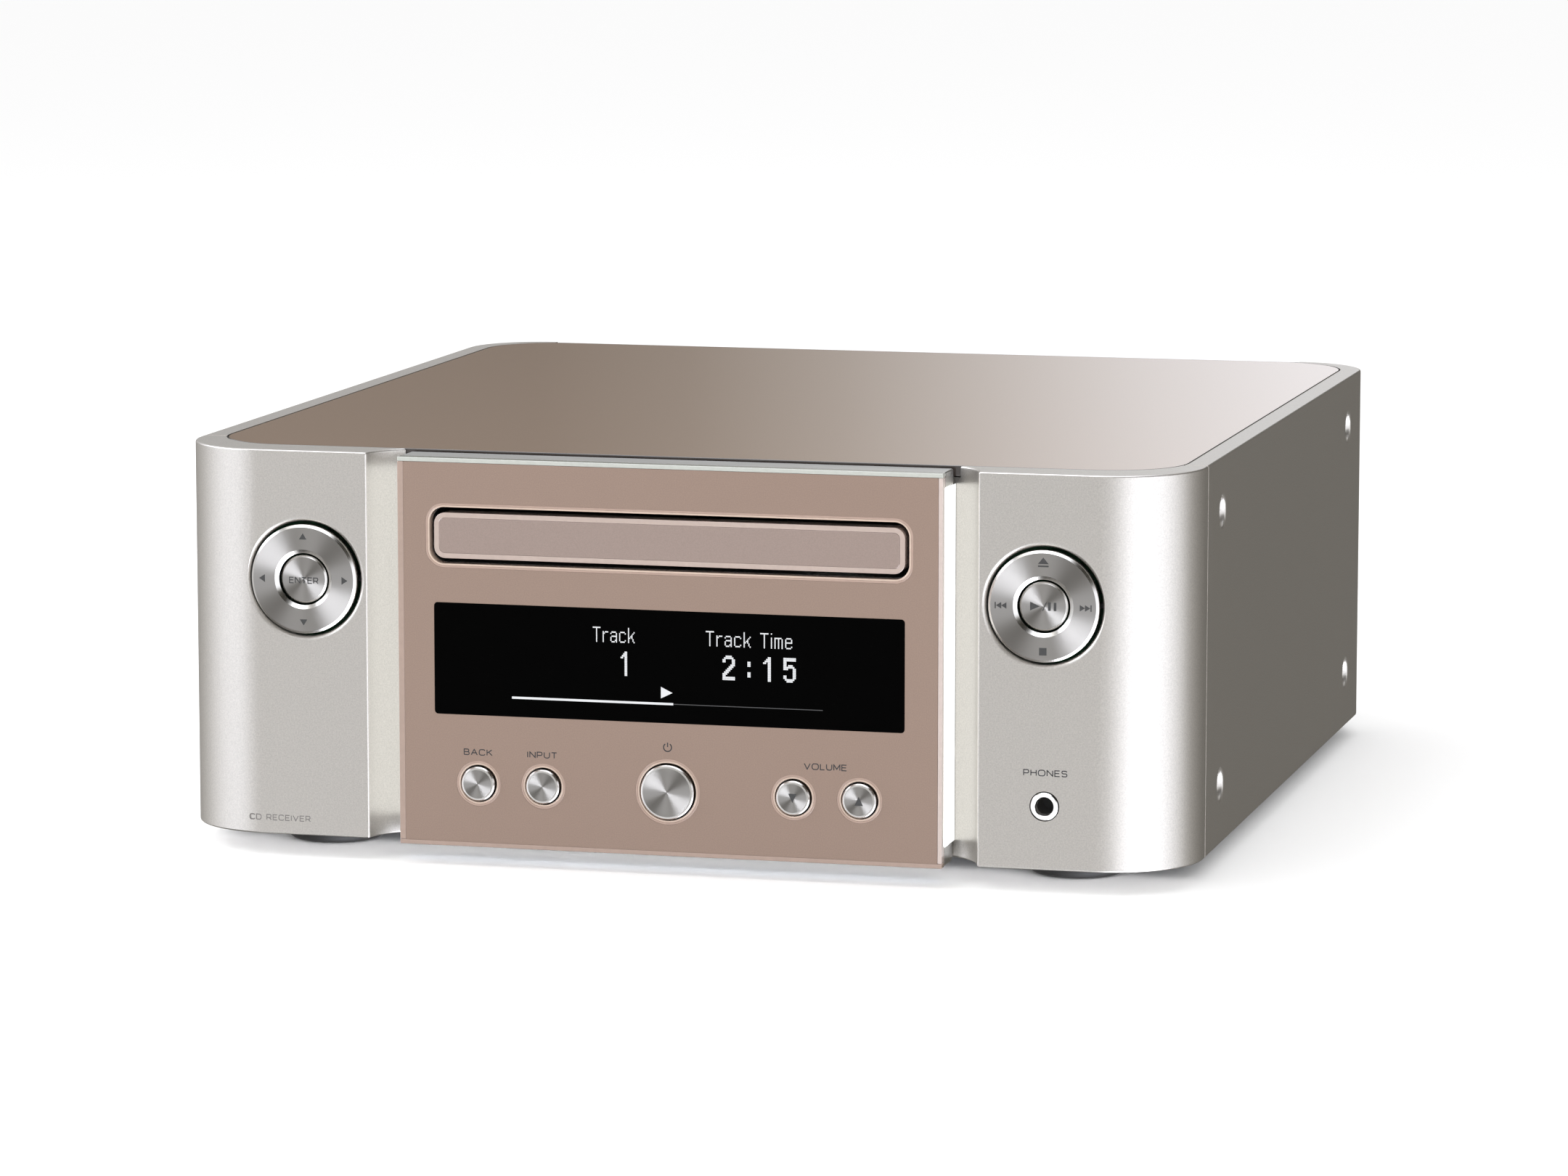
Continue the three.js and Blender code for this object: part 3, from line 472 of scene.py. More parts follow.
def front_outline(inset=0.0, back=SEAM):
    """Plan of the front: a corner, a wing, a cove, the wall behind the block, and the same mirrored."""
    cove = COVE_RADIUS + inset
    centre_x = WING_EDGE - math.sqrt(COVE_RADIUS**2 - COVE_OFFSET**2)
    centre_y = FACE - COVE_OFFSET
    start = math.degrees(math.asin((COVE_OFFSET + inset) / cove))
    end = math.degrees(math.asin((WEB + inset - centre_y) / cove))
    corner = FRONT_RADIUS - inset
    corner_x, corner_y = SIDE - FRONT_RADIUS, FACE + FRONT_RADIUS
    return (
        [(inset - SIDE, back)]
        + arc((-corner_x, corner_y), corner, 180, 270, 32)
        + arc((-centre_x, centre_y), cove, 180 - start, 180 - end, 16)
        + arc((centre_x, centre_y), cove, end, start, 16)
        + arc((corner_x, corner_y), corner, 270, 360, 32)
        + [(SIDE - inset, back)]
    )


def lid_outline(grow):
    (x0, x1), (y0, y1) = span("top_plate", 0), span("top_plate", 1)
    return rounded((x0 - grow, x1 + grow), (y0 - grow, y1 + grow), LID_RADIUS + grow, steps=24)


def front_panel():
    """The front's shell, with the wells of the rings, the jack's hole and the tray's way."""
    panel = soften(upright("front_shell", front_outline(), BOTTOM, TOP), EDGE_ROUND)
    cutters = [
        upright("room", front_outline(WALL, SEAM + 1), BOTTOM + WALL, LID_FLOOR),
        upright("recess", lid_outline(LID_GAP), LID_FLOOR, TOP + 1),
    ]
    for x in (-RING_X, RING_X):
        cutters.append(turned("well", (x, RING_Z), set_back(RING_WELL, FACE)))
    jack = (middle("phones_jack", 0), middle("phones_jack", 2))
    cutters.append(turned("jack_hole", jack, set_back(JACK_HOLE, FACE)))
    cutters.append(facing("tray_way", rounded(*TRAY_WAY, 1), WEB - 1, WEB + WALL + 1))
    settle(soften(carve(panel, cutters), 0, weigh=True), CABINET, "silver_case", SILVER, "front_panel")


def casing_outline(inset=0):
    """Plan of the whole case, or of the room inside its walls."""
    across, along = (inset - SIDE, SIDE - inset), (FACE + inset, REAR - inset)
    return rounded(across, along, FRONT_RADIUS - inset, REAR_RADIUS - inset, 32)


def stand_on_side(piece, side, x, screw):
    """Turns a piece that was made about the Y axis, and puts it at a screw's place on a side panel."""
    piece.rotation_euler = (0, 0, -side * math.pi / 2)
    piece.location = Vector((side * x, middle(screw, 1), middle(screw, 2))) * MM
    bpy.context.view_layer.update()


def side_panel(side, word):
    """One side of the case, behind the seam, with its wrap round the rear corner and its dimples."""
    node = f"{word}_side_panel"
    wrap = min(abs(value) for value in span(node, 0))
    across = (wrap, SIDE + 1) if side > 0 else (-SIDE - 1, -wrap)
    panel = soften(upright(f"{word}_shell", casing_outline(), BOTTOM, TOP), EDGE_ROUND)
    carve(panel, [upright("keep", box_outline(*across, SEAM + SEAM_GAP, REAR + 1), 0, TOP + 1)], "INTERSECT")
    cutters = [
        upright("room", casing_outline(WALL), 0, LID_FLOOR),
        upright("recess", lid_outline(LID_GAP), LID_FLOOR, TOP + 1),
    ]
    for number in SIDE_SCREWS:
        dimple = turned("dimple", (0, 0), DIMPLE, 48)
        stand_on_side(dimple, side, SIDE, f"side_screw_{word}_{number}")
        cutters.append(dimple)
    settle(soften(carve(panel, cutters), 0, weigh=True), CABINET, "silver_case", SILVER, node)


def side_screws(side, word):
    """Domed cross-head screws at the bottom of the dimples."""
    for number in SIDE_SCREWS:
        node = f"side_screw_{word}_{number}"
        head = turned(node + "_head", (0, 0), SCREW_HEAD, 48)
        carve(head, [upright("arm", [(a, 0), (-a, 0), (-a, 1), (a, 1)], -b, b) for a, b in SCREW_CROSS])
        stand_on_side(head, side, SIDE - SCREW_INSET, node)
        settle(soften(head, 0, sharpest=40), CABINET, "screw_steel", NICKEL, node)


def top_plate():
    low, high = span("top_plate", 2)
    plate = soften(upright("lid", lid_outline(0), low, high), LID_ROUND)
    settle(plate, CABINET, "brown_plate", [LID_PLATE_LIT, LID_EDGE_SHADE], "top_plate")
    # Its rounded edge and sides take the near-black painted shade.
    show_edges(plate, axis=2, way=1)


def show_edges(piece, axis=1, way=-1):
    """Gives the faces that don't look along the axis, to the front unless said, the second material."""
    for face in piece.data.polygons:
        face.material_index = 0 if face.normal[axis] * way > 0.97 else 1


def feet():
    for row in ("front", "rear"):
        for word in ("left", "right"):
            node = f"foot_{row}_{word}"
            x, radius = round_place(node)
            top = span(node, 2)[1]
            profile = [(0.01, 0), (radius - 3, 0), (radius - 1.4, 0.25), (radius - 0.5, 0.9), (radius, 2.0)]
            foot = turned_up(node + "_pad", (x, middle(node, 1)), [*profile, (radius, top), (0.01, top)])
            settle(soften(foot, 0, sharpest=50), CABINET, "foot_rubber", RUBBER, node)


# ---------------------------------------------------------------- centre


def rims(name, outline):
    """Two thin bands round an opening, painted pale for the light that the clear plate carries from its edge.
    """
    for number, (low, high, made) in enumerate(((0, 0.5, GLOW), (0.5, RIM, FAINT_GLOW))):
        rim = band(f"{name}_{number}", outline(high), outline(low), PLATE_FRONT, PLATE_BACK)
        settle(soften(rim, PLATE_ROUND), CABINET, "brown_plate", made)


def front_plate():
    """The brown plate with its holes, rims and clear edges, the edges in painted highlight and painted shade,
    and the glass of the display.
    """
    left, right, low, high = EDGES
    across, up = (-PLATE_HALF, PLATE_HALF), (PLATE_BOTTOM + low, PLATE_TOP - high)
    inner = (left - PLATE_HALF, PLATE_HALF - right)
    core = facing("plate", rounded(inner, up, PLATE_CORNER, steps=6), PLATE_FRONT, PLATE_BACK)
    ends = (PLATE_FRONT - 1, PLATE_BACK + 1)

    def slot(grow):
        reach, (z0, z1) = SLOT_HALF + grow, SLOT_UP
        return rounded((-reach, reach), (z0 - grow, z1 + grow), SLOT_RADIUS + grow)

    screen = rounded(*SCREEN_WINDOW, 1, steps=6)
    cutters = [facing("slot", slot(RIM), *ends), facing("screen_hole", screen, *ends)]
    for name in PUSH_BUTTONS:
        x, radius = round_place(name)
        cutters.append(facing("button_hole", circle((x, BUTTON_Z), radius + BUTTON_GAP + RIM, 96), *ends))
        rims(f"{name}_rim", lambda grow: circle((x, BUTTON_Z), radius + BUTTON_GAP + grow, 96))
    rims("slot_rim", slot)
    carve(core, cutters)
    settle(soften(core, PLATE_ROUND), CABINET, "brown_plate", PLATE, "front_window")
    # Bars of the clear border, each in its side's painted highlight or painted shade.
    for name, (x0, x1), (z0, z1), made in (
        ("top", across, (up[1], PLATE_TOP), TOP_EDGE_HIGHLIGHT),
        ("bottom", across, (PLATE_BOTTOM, up[0]), EDGE_SIDE_SHADE),
        ("left", (across[0], inner[0]), up, EDGE_SIDE_SHADE),
        ("right", (inner[1], across[1]), up, EDGE),
    ):
        bar = facing(f"plate_edge_{name}", box_outline(x0, x1, z0, z1), PLATE_FRONT, PLATE_BACK)
        settle(soften(bar, BAR_ROUND), CABINET, "brown_plate", made)
    glass = soften(facing("screen_glass", screen, PLATE_FRONT + 0.05, PLATE_BACK), 0)
    settle(glass, CABINET, "display", SCREEN)


def light_strips():
    """A thin glowing sheet down each side of the block: over the light guide, and over the gap behind it as
    painted light spilling from the strip.
    """
    low, high = span("light_guide_right", 2)
    side = span("light_guide_right", 0)[1]
    join = PLATE_BACK + 3
    for word, way, lamp in (("left", -1, LIGHT), ("right", 1, BRIGHT)):
        edges = sorted(way * (side + out) for out in STRIP_FACES)
        # The rear part glows over the dark gap: painted light.
        parts = (("front", PLATE_BACK + 0.2, join, lamp), ("rear", join, WEB - 0.7, SPILL))
        for part, y0, y1, made in parts:
            strip = upright(f"glow_sheet_{word}_{part}", box_outline(*edges, y0, y1), low, high)
            settle(soften(strip, STRIP_ROUND), CABINET, "light_guide", made)


def push_buttons():
    for name in PUSH_BUTTONS:
        x, radius = round_place(name)
        front, back = BUTTON_FRONT, span(name, 1)[1]
        shoulder = FACE + 5
        dish = [(0, 0.18), (radius * 0.4, 0.14), (radius * 0.75, 0.05), (radius - 0.75, 0)]
        rim = [(radius - 0.3, 0.12), (radius, 0.55)]
        stem = [(radius, shoulder), (STEM, shoulder), (STEM, back), (0, back)]
        button = turned(name + "_cap", (x, BUTTON_Z), [*set_back(dish + rim, front), *stem])
        soften(button, 0, sharpest=25)
        settle(button, name, "spun_key", [SPUN, NICKEL], name)
        show_edges(button)
    for name, way in (("volume_down_button", "down"), ("volume_up_button", "up")):
        x = round_place(name)[0]
        glyph(name + "_mark", triangle(x, BUTTON_Z, 2.3, 2.4, way), BUTTON_FRONT + 0.14, name)


def tray_door():
    """The door in the slot, with a gap round it and a frame along its edge: the frame is the real clear
    border, painted paler as highlight, and the door's greyer, pinker brown is a painted reflection.
    """
    (x0, x1), (y0, y1), (z0, z1) = (span("tray_door", axis) for axis in range(3))
    gap, edge, corner = 0.2, 1.4, 3
    x0, x1, z0, z1 = x0 + gap, x1 - gap, z0 + gap, z1 - gap
    outer = rounded((x0, x1), (z0, z1), corner)
    inner = rounded((x0 + edge, x1 - edge), (z0 + edge, z1 - edge), corner - edge)
    settle(soften(facing("door", inner, y0, y1), DOOR_ROUND), "tray", "door", DOOR, "tray_door")
    settle(soften(band("door_frame", outer, inner, y0, y1), DOOR_ROUND), "tray", "door", DOOR_EDGE)


# ---------------------------------------------------------------- wings


def rings():
    """Each wing's ring, and the slightly dished key in its middle."""
    front, back = span("cursor_ring", 1)
    outer = round_place("cursor_ring")[1]
    for side, word, key in ((-1, "cursor", "enter_button"), (1, "transport", "play_button")):
        x = side * RING_X
        crown = set_back([(7.1, 0.8), (8.1, 0), (outer - 0.75, 0), (outer - 0.1, 0.6), (outer, 0.9)], front)
        profile = [(7.1, back), *crown, (outer, FACE + 1.2), (13.6, back)]
        ring = soften(turned(f"{word}_disc", (x, RING_Z), profile, 144, closed=True), 0, sharpest=25)
        settle(ring, f"{word}_ring", "spun_key", [SPUN, NICKEL], f"{word}_ring")
        show_edges(ring)
        key_front, key_back = span(key, 1)
        radius = round_place(key)[1]
        shoulder = FACE + 6
        dish = set_back([(0, 0.12), (radius * 0.6, 0.08), (radius - 0.5, 0), (radius, 0.45)], key_front)
        stem = [(radius, shoulder), (STEM, shoulder), (STEM, key_back), (0, key_back)]
        cap = soften(turned(f"{key}_cap", (x, RING_Z), dish + stem), 0, sharpest=25)
        settle(cap, key, "spun_key", [SPUN, NICKEL], key)
        show_edges(cap)


def glyph(name, outline, surface, body):
    """A flat printed mark on a face that looks to the front."""
    mark = facing(name, outline, surface - LETTER_DEPTH, surface + LETTER_DEPTH)
    settle(soften(mark, 0), body, "spun_key", GREY_INK)


def ring_marks():
    """Arrows on the left ring, eject, stop and skip on the right one, play and pause on its key."""
    front = span("cursor_ring", 1)[0]
    key = span("play_button", 1)[0] + 0.09
    left, right, reach = -RING_X, RING_X, 11.7
    for name, dx, dz in (("up", 0, 1), ("down", 0, -1), ("left", -1, 0), ("right", 1, 0)):
        size = (2.1, 1.65) if dz else (1.65, 2.1)
        place = (left + dx * reach, RING_Z + dz * reach)
        glyph(f"arrow_{name}", triangle(*place, *size, name), front, "cursor_ring")
    body = "transport_ring"
    glyph("eject_mark", triangle(right, RING_Z + 12.15, 2.85, 1.7, "up"), front, body)
    glyph("eject_bar", box_outline(right - 1.42, right + 1.42, RING_Z + 10.5, RING_Z + 10.9), front, body)
    glyph("stop_mark", box_outline(right - 1, right + 1, RING_Z - 12.85, RING_Z - 10.85), front, body)
    for word, side in (("left", -1), ("right", 1)):
        skip = right + side * 11.2
        for part, step in (("a", -0.7), ("b", 0.7)):
            glyph(f"skip_{word}_{part}", triangle(skip + step, RING_Z, 1.4, 1.7, word), front, body)
        edge = skip + side * 1.6
        bar = box_outline(edge - 0.15, edge + 0.15, RING_Z - 0.85, RING_Z + 0.85)
        glyph(f"skip_{word}_bar", bar, front, body)
    low, high = RING_Z - 1.1, RING_Z + 1.1
    glyph("play_mark", triangle(right - 2.3, RING_Z, 2.6, 2.3, "right"), key, "play_button")
    slash = [(right - 0.35, low), (right - 0.1, low), (right + 0.85, high), (right + 0.6, high)]
    glyph("play_slash", slash, key, "play_button")
    for name, x in (("a", 1.55), ("b", 3.05)):
        bar = box_outline(right + x - 0.35, right + x + 0.35, low, high)
        glyph(f"pause_{name}", bar, key, "play_button")


def phones_jack():
    """A collar round the socket in near-white, a painted highlight for the glint of its bright metal, and a
    dark disc that closes its bore.
    """
    centre = (middle("phones_jack", 0), middle("phones_jack", 2))
    front = span("phones_jack", 1)[0]
    lip = set_back([(2.05, 0.9), (2.4, 0.4), (2.5, 0.1), (2.6, 0), (3.5, 0), (3.7, 0.2)], front)
    profile = [(2.05, FACE + 9), *lip, (3.7, FACE + 5)]
    collar = soften(turned("jack_collar", centre, profile, closed=True), 0, sharpest=25)
    settle(collar, CABINET, "bright_metal", [COLLAR_GLINT, NICKEL], "phones_jack")
    show_edges(collar)
    back = turned("jack_depth", centre, set_back(JACK_DEPTH, FACE))
    settle(back, CABINET, "tray_plastic", BLACK_PLASTIC)


# ---------------------------------------------------------------- letters and display


def letter_shapes():
    """Each capital's width and strokes, for a letter one unit high."""
    bowl = [(0, 0), (0, 1), (0.7, 1), *arc((0.7, 0.71), 0.29, 90, -90, 8), (0, 0.42)]
    return {
        " ": (0.5, []),
        "A": (1.2, [[(0, 0), (0.6, 1), (1.2, 0)], [(0.22, 0.36), (0.98, 0.36)]]),
        "B": (
            1.0,
            [
                [(0, 0), (0, 1), (0.68, 1), *arc((0.68, 0.76), 0.24, 90, -90, 8), (0, 0.52)],
                [(0.68, 0.52), *arc((0.74, 0.26), 0.26, 90, -90, 8), (0, 0)],
            ],
        ),
        "C": (
            1.15,
            [
                arc((0.85, 0.7), 0.3, 20, 90, 6)
                + arc((0.38, 0.62), 0.38, 90, 180, 8)
                + arc((0.38, 0.38), 0.38, 180, 270, 8)
                + arc((0.85, 0.3), 0.3, 270, 340, 6)
            ],
        ),
        "D": (
            1.1,
            [
                [(0, 0), (0, 1)]
                + arc((0.65, 0.55), 0.45, 90, 0, 8)
                + arc((0.65, 0.45), 0.45, 0, -90, 8)
                + [(0, 0)]
            ],
        ),
        "E": (0.95, [[(0.95, 1), (0, 1), (0, 0), (0.95, 0)], [(0, 0.52), (0.85, 0.52)]]),
        "H": (1.05, [[(0, 0), (0, 1)], [(1.05, 0), (1.05, 1)], [(0, 0.52), (1.05, 0.52)]]),
        "I": (0.02, [[(0, 0), (0, 1)]]),
        "K": (1.0, [[(0, 0), (0, 1)], [(0.95, 1), (0, 0.42)], [(0.33, 0.6), (1, 0)]]),
        "L": (0.85, [[(0, 1), (0, 0), (0.85, 0)]]),
        "M": (1.25, [[(0, 0), (0, 1), (0.62, 0.2), (1.25, 1), (1.25, 0)]]),
        "N": (1.1, [[(0, 0), (0, 1), (1.1, 0), (1.1, 1)]]),
        "O": (1.3, [[*rounded((0, 1.3), (0, 1), 0.42, steps=8), (0, 0.42)]]),
        "P": (1.0, [bowl]),
        "R": (1.05, [bowl, [(0.55, 0.42), (1.05, 0)]]),
        "S": (
            1.0,
            [
                arc((0.73, 0.75), 0.25, 15, 90, 6)
                + arc((0.26, 0.76), 0.24, 90, 270, 8)
                + arc((0.74, 0.26), 0.26, 90, -90, 8)
                + arc((0.27, 0.25), 0.25, 270, 195, 6)
            ],
        ),
        "T": (1.05, [[(0, 1), (1.05, 1)], [(0.525, 1), (0.525, 0)]]),
        "U": (
            1.1,
            [
                [(0, 1)]
                + arc((0.4, 0.4), 0.4, 180, 270, 8)
                + arc((0.7, 0.4), 0.4, 270, 360, 8)
                + [(1.1, 1)]
            ],
        ),
        "V": (1.2, [[(0, 1), (0.6, 0), (1.2, 1)]]),
    }


def even_runs(line, reach, sharpest=35):
    """The parts of a line between its sharp turns, each carried on past the turn by the reach."""
    steps = zip(line, line[1:])
    points = [Vector(line[0]), *[Vector(point) for before, point in steps if math.dist(point, before) > 1e-6]]
    runs, run = [], [points[0]]
    for before, point, after in zip(points, points[1:], points[2:]):
        ahead, behind = (after - point).normalized(), (point - before).normalized()
        if ahead.angle(behind) > math.radians(sharpest):
            runs.append([*run, point + behind * reach])
            run = [point - ahead * reach]
        else:
            run.append(point)
    return [*runs, [*run, points[-1]]]


def strokes(name, lines, thickness, surface, ink, slot, body=CABINET):
    """Flat strokes of even width along lines of (x, z) places, on a face that looks to the front."""
    curve = bpy.data.curves.new(name, "CURVE")
    curve.dimensions = "3D"
    curve.bevel_depth = thickness / 2 * MM
    curve.bevel_resolution = 2
    curve.use_fill_caps = True
    for line in [run for line in lines for run in even_runs(line, thickness * 0.4)]:
        spline = curve.splines.new("POLY")
        spline.points.add(len(line) - 1)
        for point, (x, z) in zip(spline.points, line):
            point.co = (x * MM, 0, z * MM, 1)
    holder = bpy.data.objects.new(name, curve)
    bpy.context.scene.collection.objects.link(holder)
    bpy.context.view_layer.update()
    graph = bpy.context.evaluated_depsgraph_get()
    data = bpy.data.meshes.new_from_object(holder.evaluated_get(graph))
    bpy.data.objects.remove(holder)
    for vertex in data.vertices:
        vertex.co.y = surface * MM + vertex.co.y * LETTER_DEPTH * 2 / thickness
    piece = bpy.data.objects.new(name, data)
    bpy.context.scene.collection.objects.link(piece)
    settle(piece, body, slot, ink)


def words(name, text, x0, x1, z0, height, surface, ink, slot, body=CABINET, thickness=0.27):
    """Plain capitals on a face that looks to the front, from x0 to x1 and standing on z0."""
    shapes = letter_shapes()
    gap = 0.42
    total = sum(shapes[letter][0] for letter in text) + gap * (len(text) - 1)
    across = (x1 - x0) / total
    lines, start = [], x0
    for letter in text:
        width, parts = shapes[letter]
        lines += [[(start + a * across, z0 + b * height) for a, b in part] for part in parts]
        start += (width + gap) * across
    strokes(name, lines, thickness, surface, ink, slot, body)


def labels():
    """Plain words by the keys, and the power mark."""
    plate = PLATE_FRONT
    words("label_back", "BACK", -56.7, -48.9, 30.4, 1.5, plate, INK, "brown_plate")
    words("label_input", "INPUT", -38.9, -30.8, 30.4, 1.5, plate, INK, "brown_plate")
    words("label_volume", "VOLUME", 37.6, 49.1, 30.5, 1.5, plate, INK, "brown_plate")
    words("label_phones", "PHONES", 96.7, 108.3, 31.2, 1.5, FACE, INK, "silver_case")
    words("label_class", "CD RECEIVER", -118.3, -101, 9.8, 1.4, FACE, PALE_INK, "silver_case")
    key = span("enter_button", 1)[0] + 0.06
    words("label_enter", "ENTER", -106, -97.9, 75.1, 1.5, key, GREY_INK, "spun_key", "enter_button")
    loop = arc((0, 34.7), 1.1, 125, 415, 24)
    strokes("power_mark", [[(0, 34.8), (0, 36)], loop], 0.3, plate, INK, "brown_plate")


# Lit dots of each letter, row by row from the top; small letters have 11 rows and digits 14.
DOT_LETTERS = {
    "T": "#######" + " ...#..." * 10,
    "r": "..... ..... ..... #.### ##..." + " #...." * 6,
    "a": "...... ...... ...... .####. #....# .....# .##### #....# #....# #...## .###.#",
    "c": "...... ...... ...... .####. #....# #..... #..... #..... #..... #....# .####.",
    "k": "#..... #..... #..... #....# #...#. #..#.. #.##.. ##.#.. #...#. #...#. #....#",
    "i": "# . ." + " #" * 8,
    "m": "....... ....... ....... ######." + " #..#..#" * 7,
    "e": "...... ...... ...... .####. #....# #....# ###### #..... #..... #....# .####.",
    "1": "...## ..### .#### ##.##" + " ...##" * 10,
    "2": "..####.. .######. ##....## ##....## ......## .....### ....###. ...###.. ..###... .###.... "
    "###..... ##...... ######## ########",
    "5": "######## ######## ##...... ##...... ##.###.. #######. ###...## ......## ......## ......## "
    "##....## ##....## .######. ..####..",
    ":": ".. .. .. ## ## ## .. .. .. ## ## ## .. ..",
    " ": " ".join(["...."] * 11),
}
DOT_FILL = 0.92  # share of its cell that a lit dot fills
# A box's faces, by the numbers of its corners: four in front and the same four behind.
BOX_FACES = ((0, 1, 2, 3), (7, 6, 5, 4), (0, 1, 5, 4), (1, 2, 6, 5), (2, 3, 7, 6), (3, 0, 4, 7))


def dots(name, text, x0, x1, z0, height, gap, face):
    """Text of lit dots from x0 to x1, standing on z0, with a gap of so many dots between letters."""
    letters = [DOT_LETTERS[letter].split() for letter in text]
    columns = sum(len(rows[0]) for rows in letters) + gap * (len(text) - 1)
    across, up = (x1 - x0) / columns, height / len(letters[0])
    points, faces, start = [], [], 0
    for rows in letters:
        for row, line in enumerate(rows):
            for column, dot in enumerate(line):
                if dot == "#":
                    left = x0 + (start + column) * across
                    low = z0 + (len(rows) - 1 - row) * up
                    corners = box_outline(left, left + across * DOT_FILL, low, low + up * DOT_FILL)
                    base = len(points)
                    points += [(a, face - LETTER_DEPTH, b) for a, b in corners]
                    points += [(a, face + LETTER_DEPTH, b) for a, b in corners]
                    faces += [[base + corner for corner in side] for side in BOX_FACES]
        start += len(rows[0]) + gap
    settle(mesh(name, points, faces), CABINET, "display", DOTS)


def display():
    """Track and time of a disc that is playing."""
    face = PLATE_FRONT + 0.04
    small, large = (62.4, 4.1), (53.5, 6.6)
    dots("screen_track", "Track", -20.6, -9, *small, 2, face)
    dots("screen_number", "1", -12.9, -11.1, *large, 0, face)
    dots("screen_label", "Track Time", 10.6, 34.3, *small, 2, face)
    dots("screen_time", "2:15", 15.2, 35.3, *large, 8, face)
    ends = (face - LETTER_DEPTH, face + LETTER_DEPTH)
    settle(facing("screen_play", triangle(-0.2, 49.4, 3.2, 3.1, "right"), *ends), CABINET, "display", DOTS)
    settle(facing("screen_played", box_outline(-43.2, 1.6, 46.1, 46.7), *ends), CABINET, "display", DOTS)
    settle(facing("screen_left", box_outline(1.6, 42.6, 46.3, 46.5), *ends), CABINET, "display", DIM)


# ---------------------------------------------------------------- rear and inside


def paint(made, *nodes):
    for node in nodes:
        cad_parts[node].data.materials.clear()
        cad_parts[node].data.materials.append(made)


def terminals():
    """Knurled speaker posts and ringed line sockets, over the plain ones of the frame."""
    end = span("speaker_terminals", 1)[1]
    left = span("speaker_terminals", 0)[0]
    root, knurled, knurl_depth = REAR + 2.0, 5.6, 0.965
    cap = set_back([(5.75, -1.0), (5.1, -0.2), (2.2, -0.2), (2.2, -1.6), (0, -1.6)], end)
    profile = [(5.75, root), *cap, (0, root)]
    for column in range(4):
        for row, (z, made) in enumerate(zip(SOCKET_HEIGHTS, (BLACK_PLASTIC, RED))):
            x = left + POST_START + POST_PITCH * column
            post = turned(f"post_{column}_{row}", (x, z), profile, 72)
            for index, vertex in enumerate(post.data.vertices):
                radius = math.hypot(vertex.co.x, vertex.co.z)
                if radius > knurled * MM and index % 2:
                    vertex.co.x *= knurl_depth
                    vertex.co.z *= knurl_depth
            settle(soften(post, 0, sharpest=40), CABINET, "terminal_plastic", made)
    for column, x in enumerate(LINE_SOCKETS):
        for row, (z, made) in enumerate(zip(SOCKET_HEIGHTS, (RED, WHITE_PLASTIC))):
            name = f"line_ring_{column}_{row}"
            ring = turned(name, (x, z), set_back(LINE_RING, REAR), 48, closed=True)
            settle(soften(ring, 0, sharpest=40), CABINET, "bright_metal", made)


def dress_frame():
    """Materials of the CAD nodes whose own shapes are kept."""
    paint(BRUSHED, "front_block")
    paint(SCREEN, "display_module")
    paint(BLACK_STEEL, "bottom_chassis", "rear_panel")
    paint(ZINC, "top_cover", "clamp_bridge", "traverse_chassis")
    paint(NICKEL, "spindle_motor", "guide_rod", "sled_screw", "sled_motor", "loading_motor")
    paint(NICKEL, "audio_jacks", "network_jacks")
    paint(BLACK_PLASTIC, "disc_tray", "cursor_carrier", "transport_carrier", "turntable")
    paint(BLACK_PLASTIC, "speaker_terminals", "power_inlet")
    paint(GREY_PLASTIC, "loader_chassis", "laser_sled")
    paint(ACETAL, "clamper", "loading_gear", "motor_pulley")
    paint(RUBBER, "loading_belt")
    paint(BOARD, "key_board", "main_board", "power_supply")
    paint(FINS, "heat_sink")
    paint(LIGHT, "light_guide_left", "light_guide_right")


# ---------------------------------------------------------------- studio


def softbox(name, place, aim, size, power, mirrored=True):
    """A lamp, placed and sized in metres, that only shows in reflections if it is mirrored."""
    light = bpy.data.lights.new(name, "AREA")
    light.shape = "RECTANGLE"
    light.size, light.size_y = size
    light.energy = power
    holder = bpy.data.objects.new(name, light)
    holder.location = place
    holder.rotation_mode = "QUATERNION"
    holder.rotation_quaternion = (Vector(aim) - Vector(place)).to_track_quat("-Z", "Y")
    holder.visible_camera = False
    holder.visible_glossy = mirrored
    bpy.context.scene.collection.objects.link(holder)


# What reflections see: for each height in degrees, the brightness at each bearing from the front.
BEHIND = [(-180, 0.05), (-177, 0.1), (-171.5, 1.15), (-169.5, 0.95)]
BEHIND += [(-168, 0.68), (-166.5, 0.42), (-165, 0.22), (-163.5, 0.12)]
LEFT = [(-155, 0.12), (-140, 0.33), (-120, 0.48), (-105, 0.68), (-90, 0.98), (-70, 1.35)]
LEFT += [(-43, 1.5), (-30, 0.93), (-21, 0.67)]
RIGHT = [(12, 0.66), (24, 1.0), (36, 1.55), (82, 1.5), (94, 1.2), (102, 1.1), (116, 0.45)]
RIGHT += [(130, 0.27), (150, 0.15), (168, 0.1)]
LEVEL = BEHIND + LEFT + RIGHT
LOW = [(-180, 0.3), (-112, 0.3), (-106, 0.03), (-41, 0.03), (-37, 1.0), (12, 1.0), (17, 7), (80, 7)]
LOW += [(95, 0.2)]
MIDDLE = [(-180, 0.4), (-171, 0.5), (-164, 1.1), (-120, 1.0), (-95, 6), (-52, 6), (-42, 0.7), (14, 0.7)]
MIDDLE += [(20, 0.05), (110, 0.05)]
HIGH = [(-180, 0.9), (-100, 0.6), (-60, 0.4), (-41, 0.35), (-37, 1.0), (12, 1.0), (17, 0.03), (100, 0.03)]
HIGH += [(150, 0.6)]
OVERHEAD = [(-180, 2.2), (0, 2.2)]
SKY = [(-30, LOW), (-19, LEVEL), (11, LEVEL), (24, MIDDLE), (32, MIDDLE)]
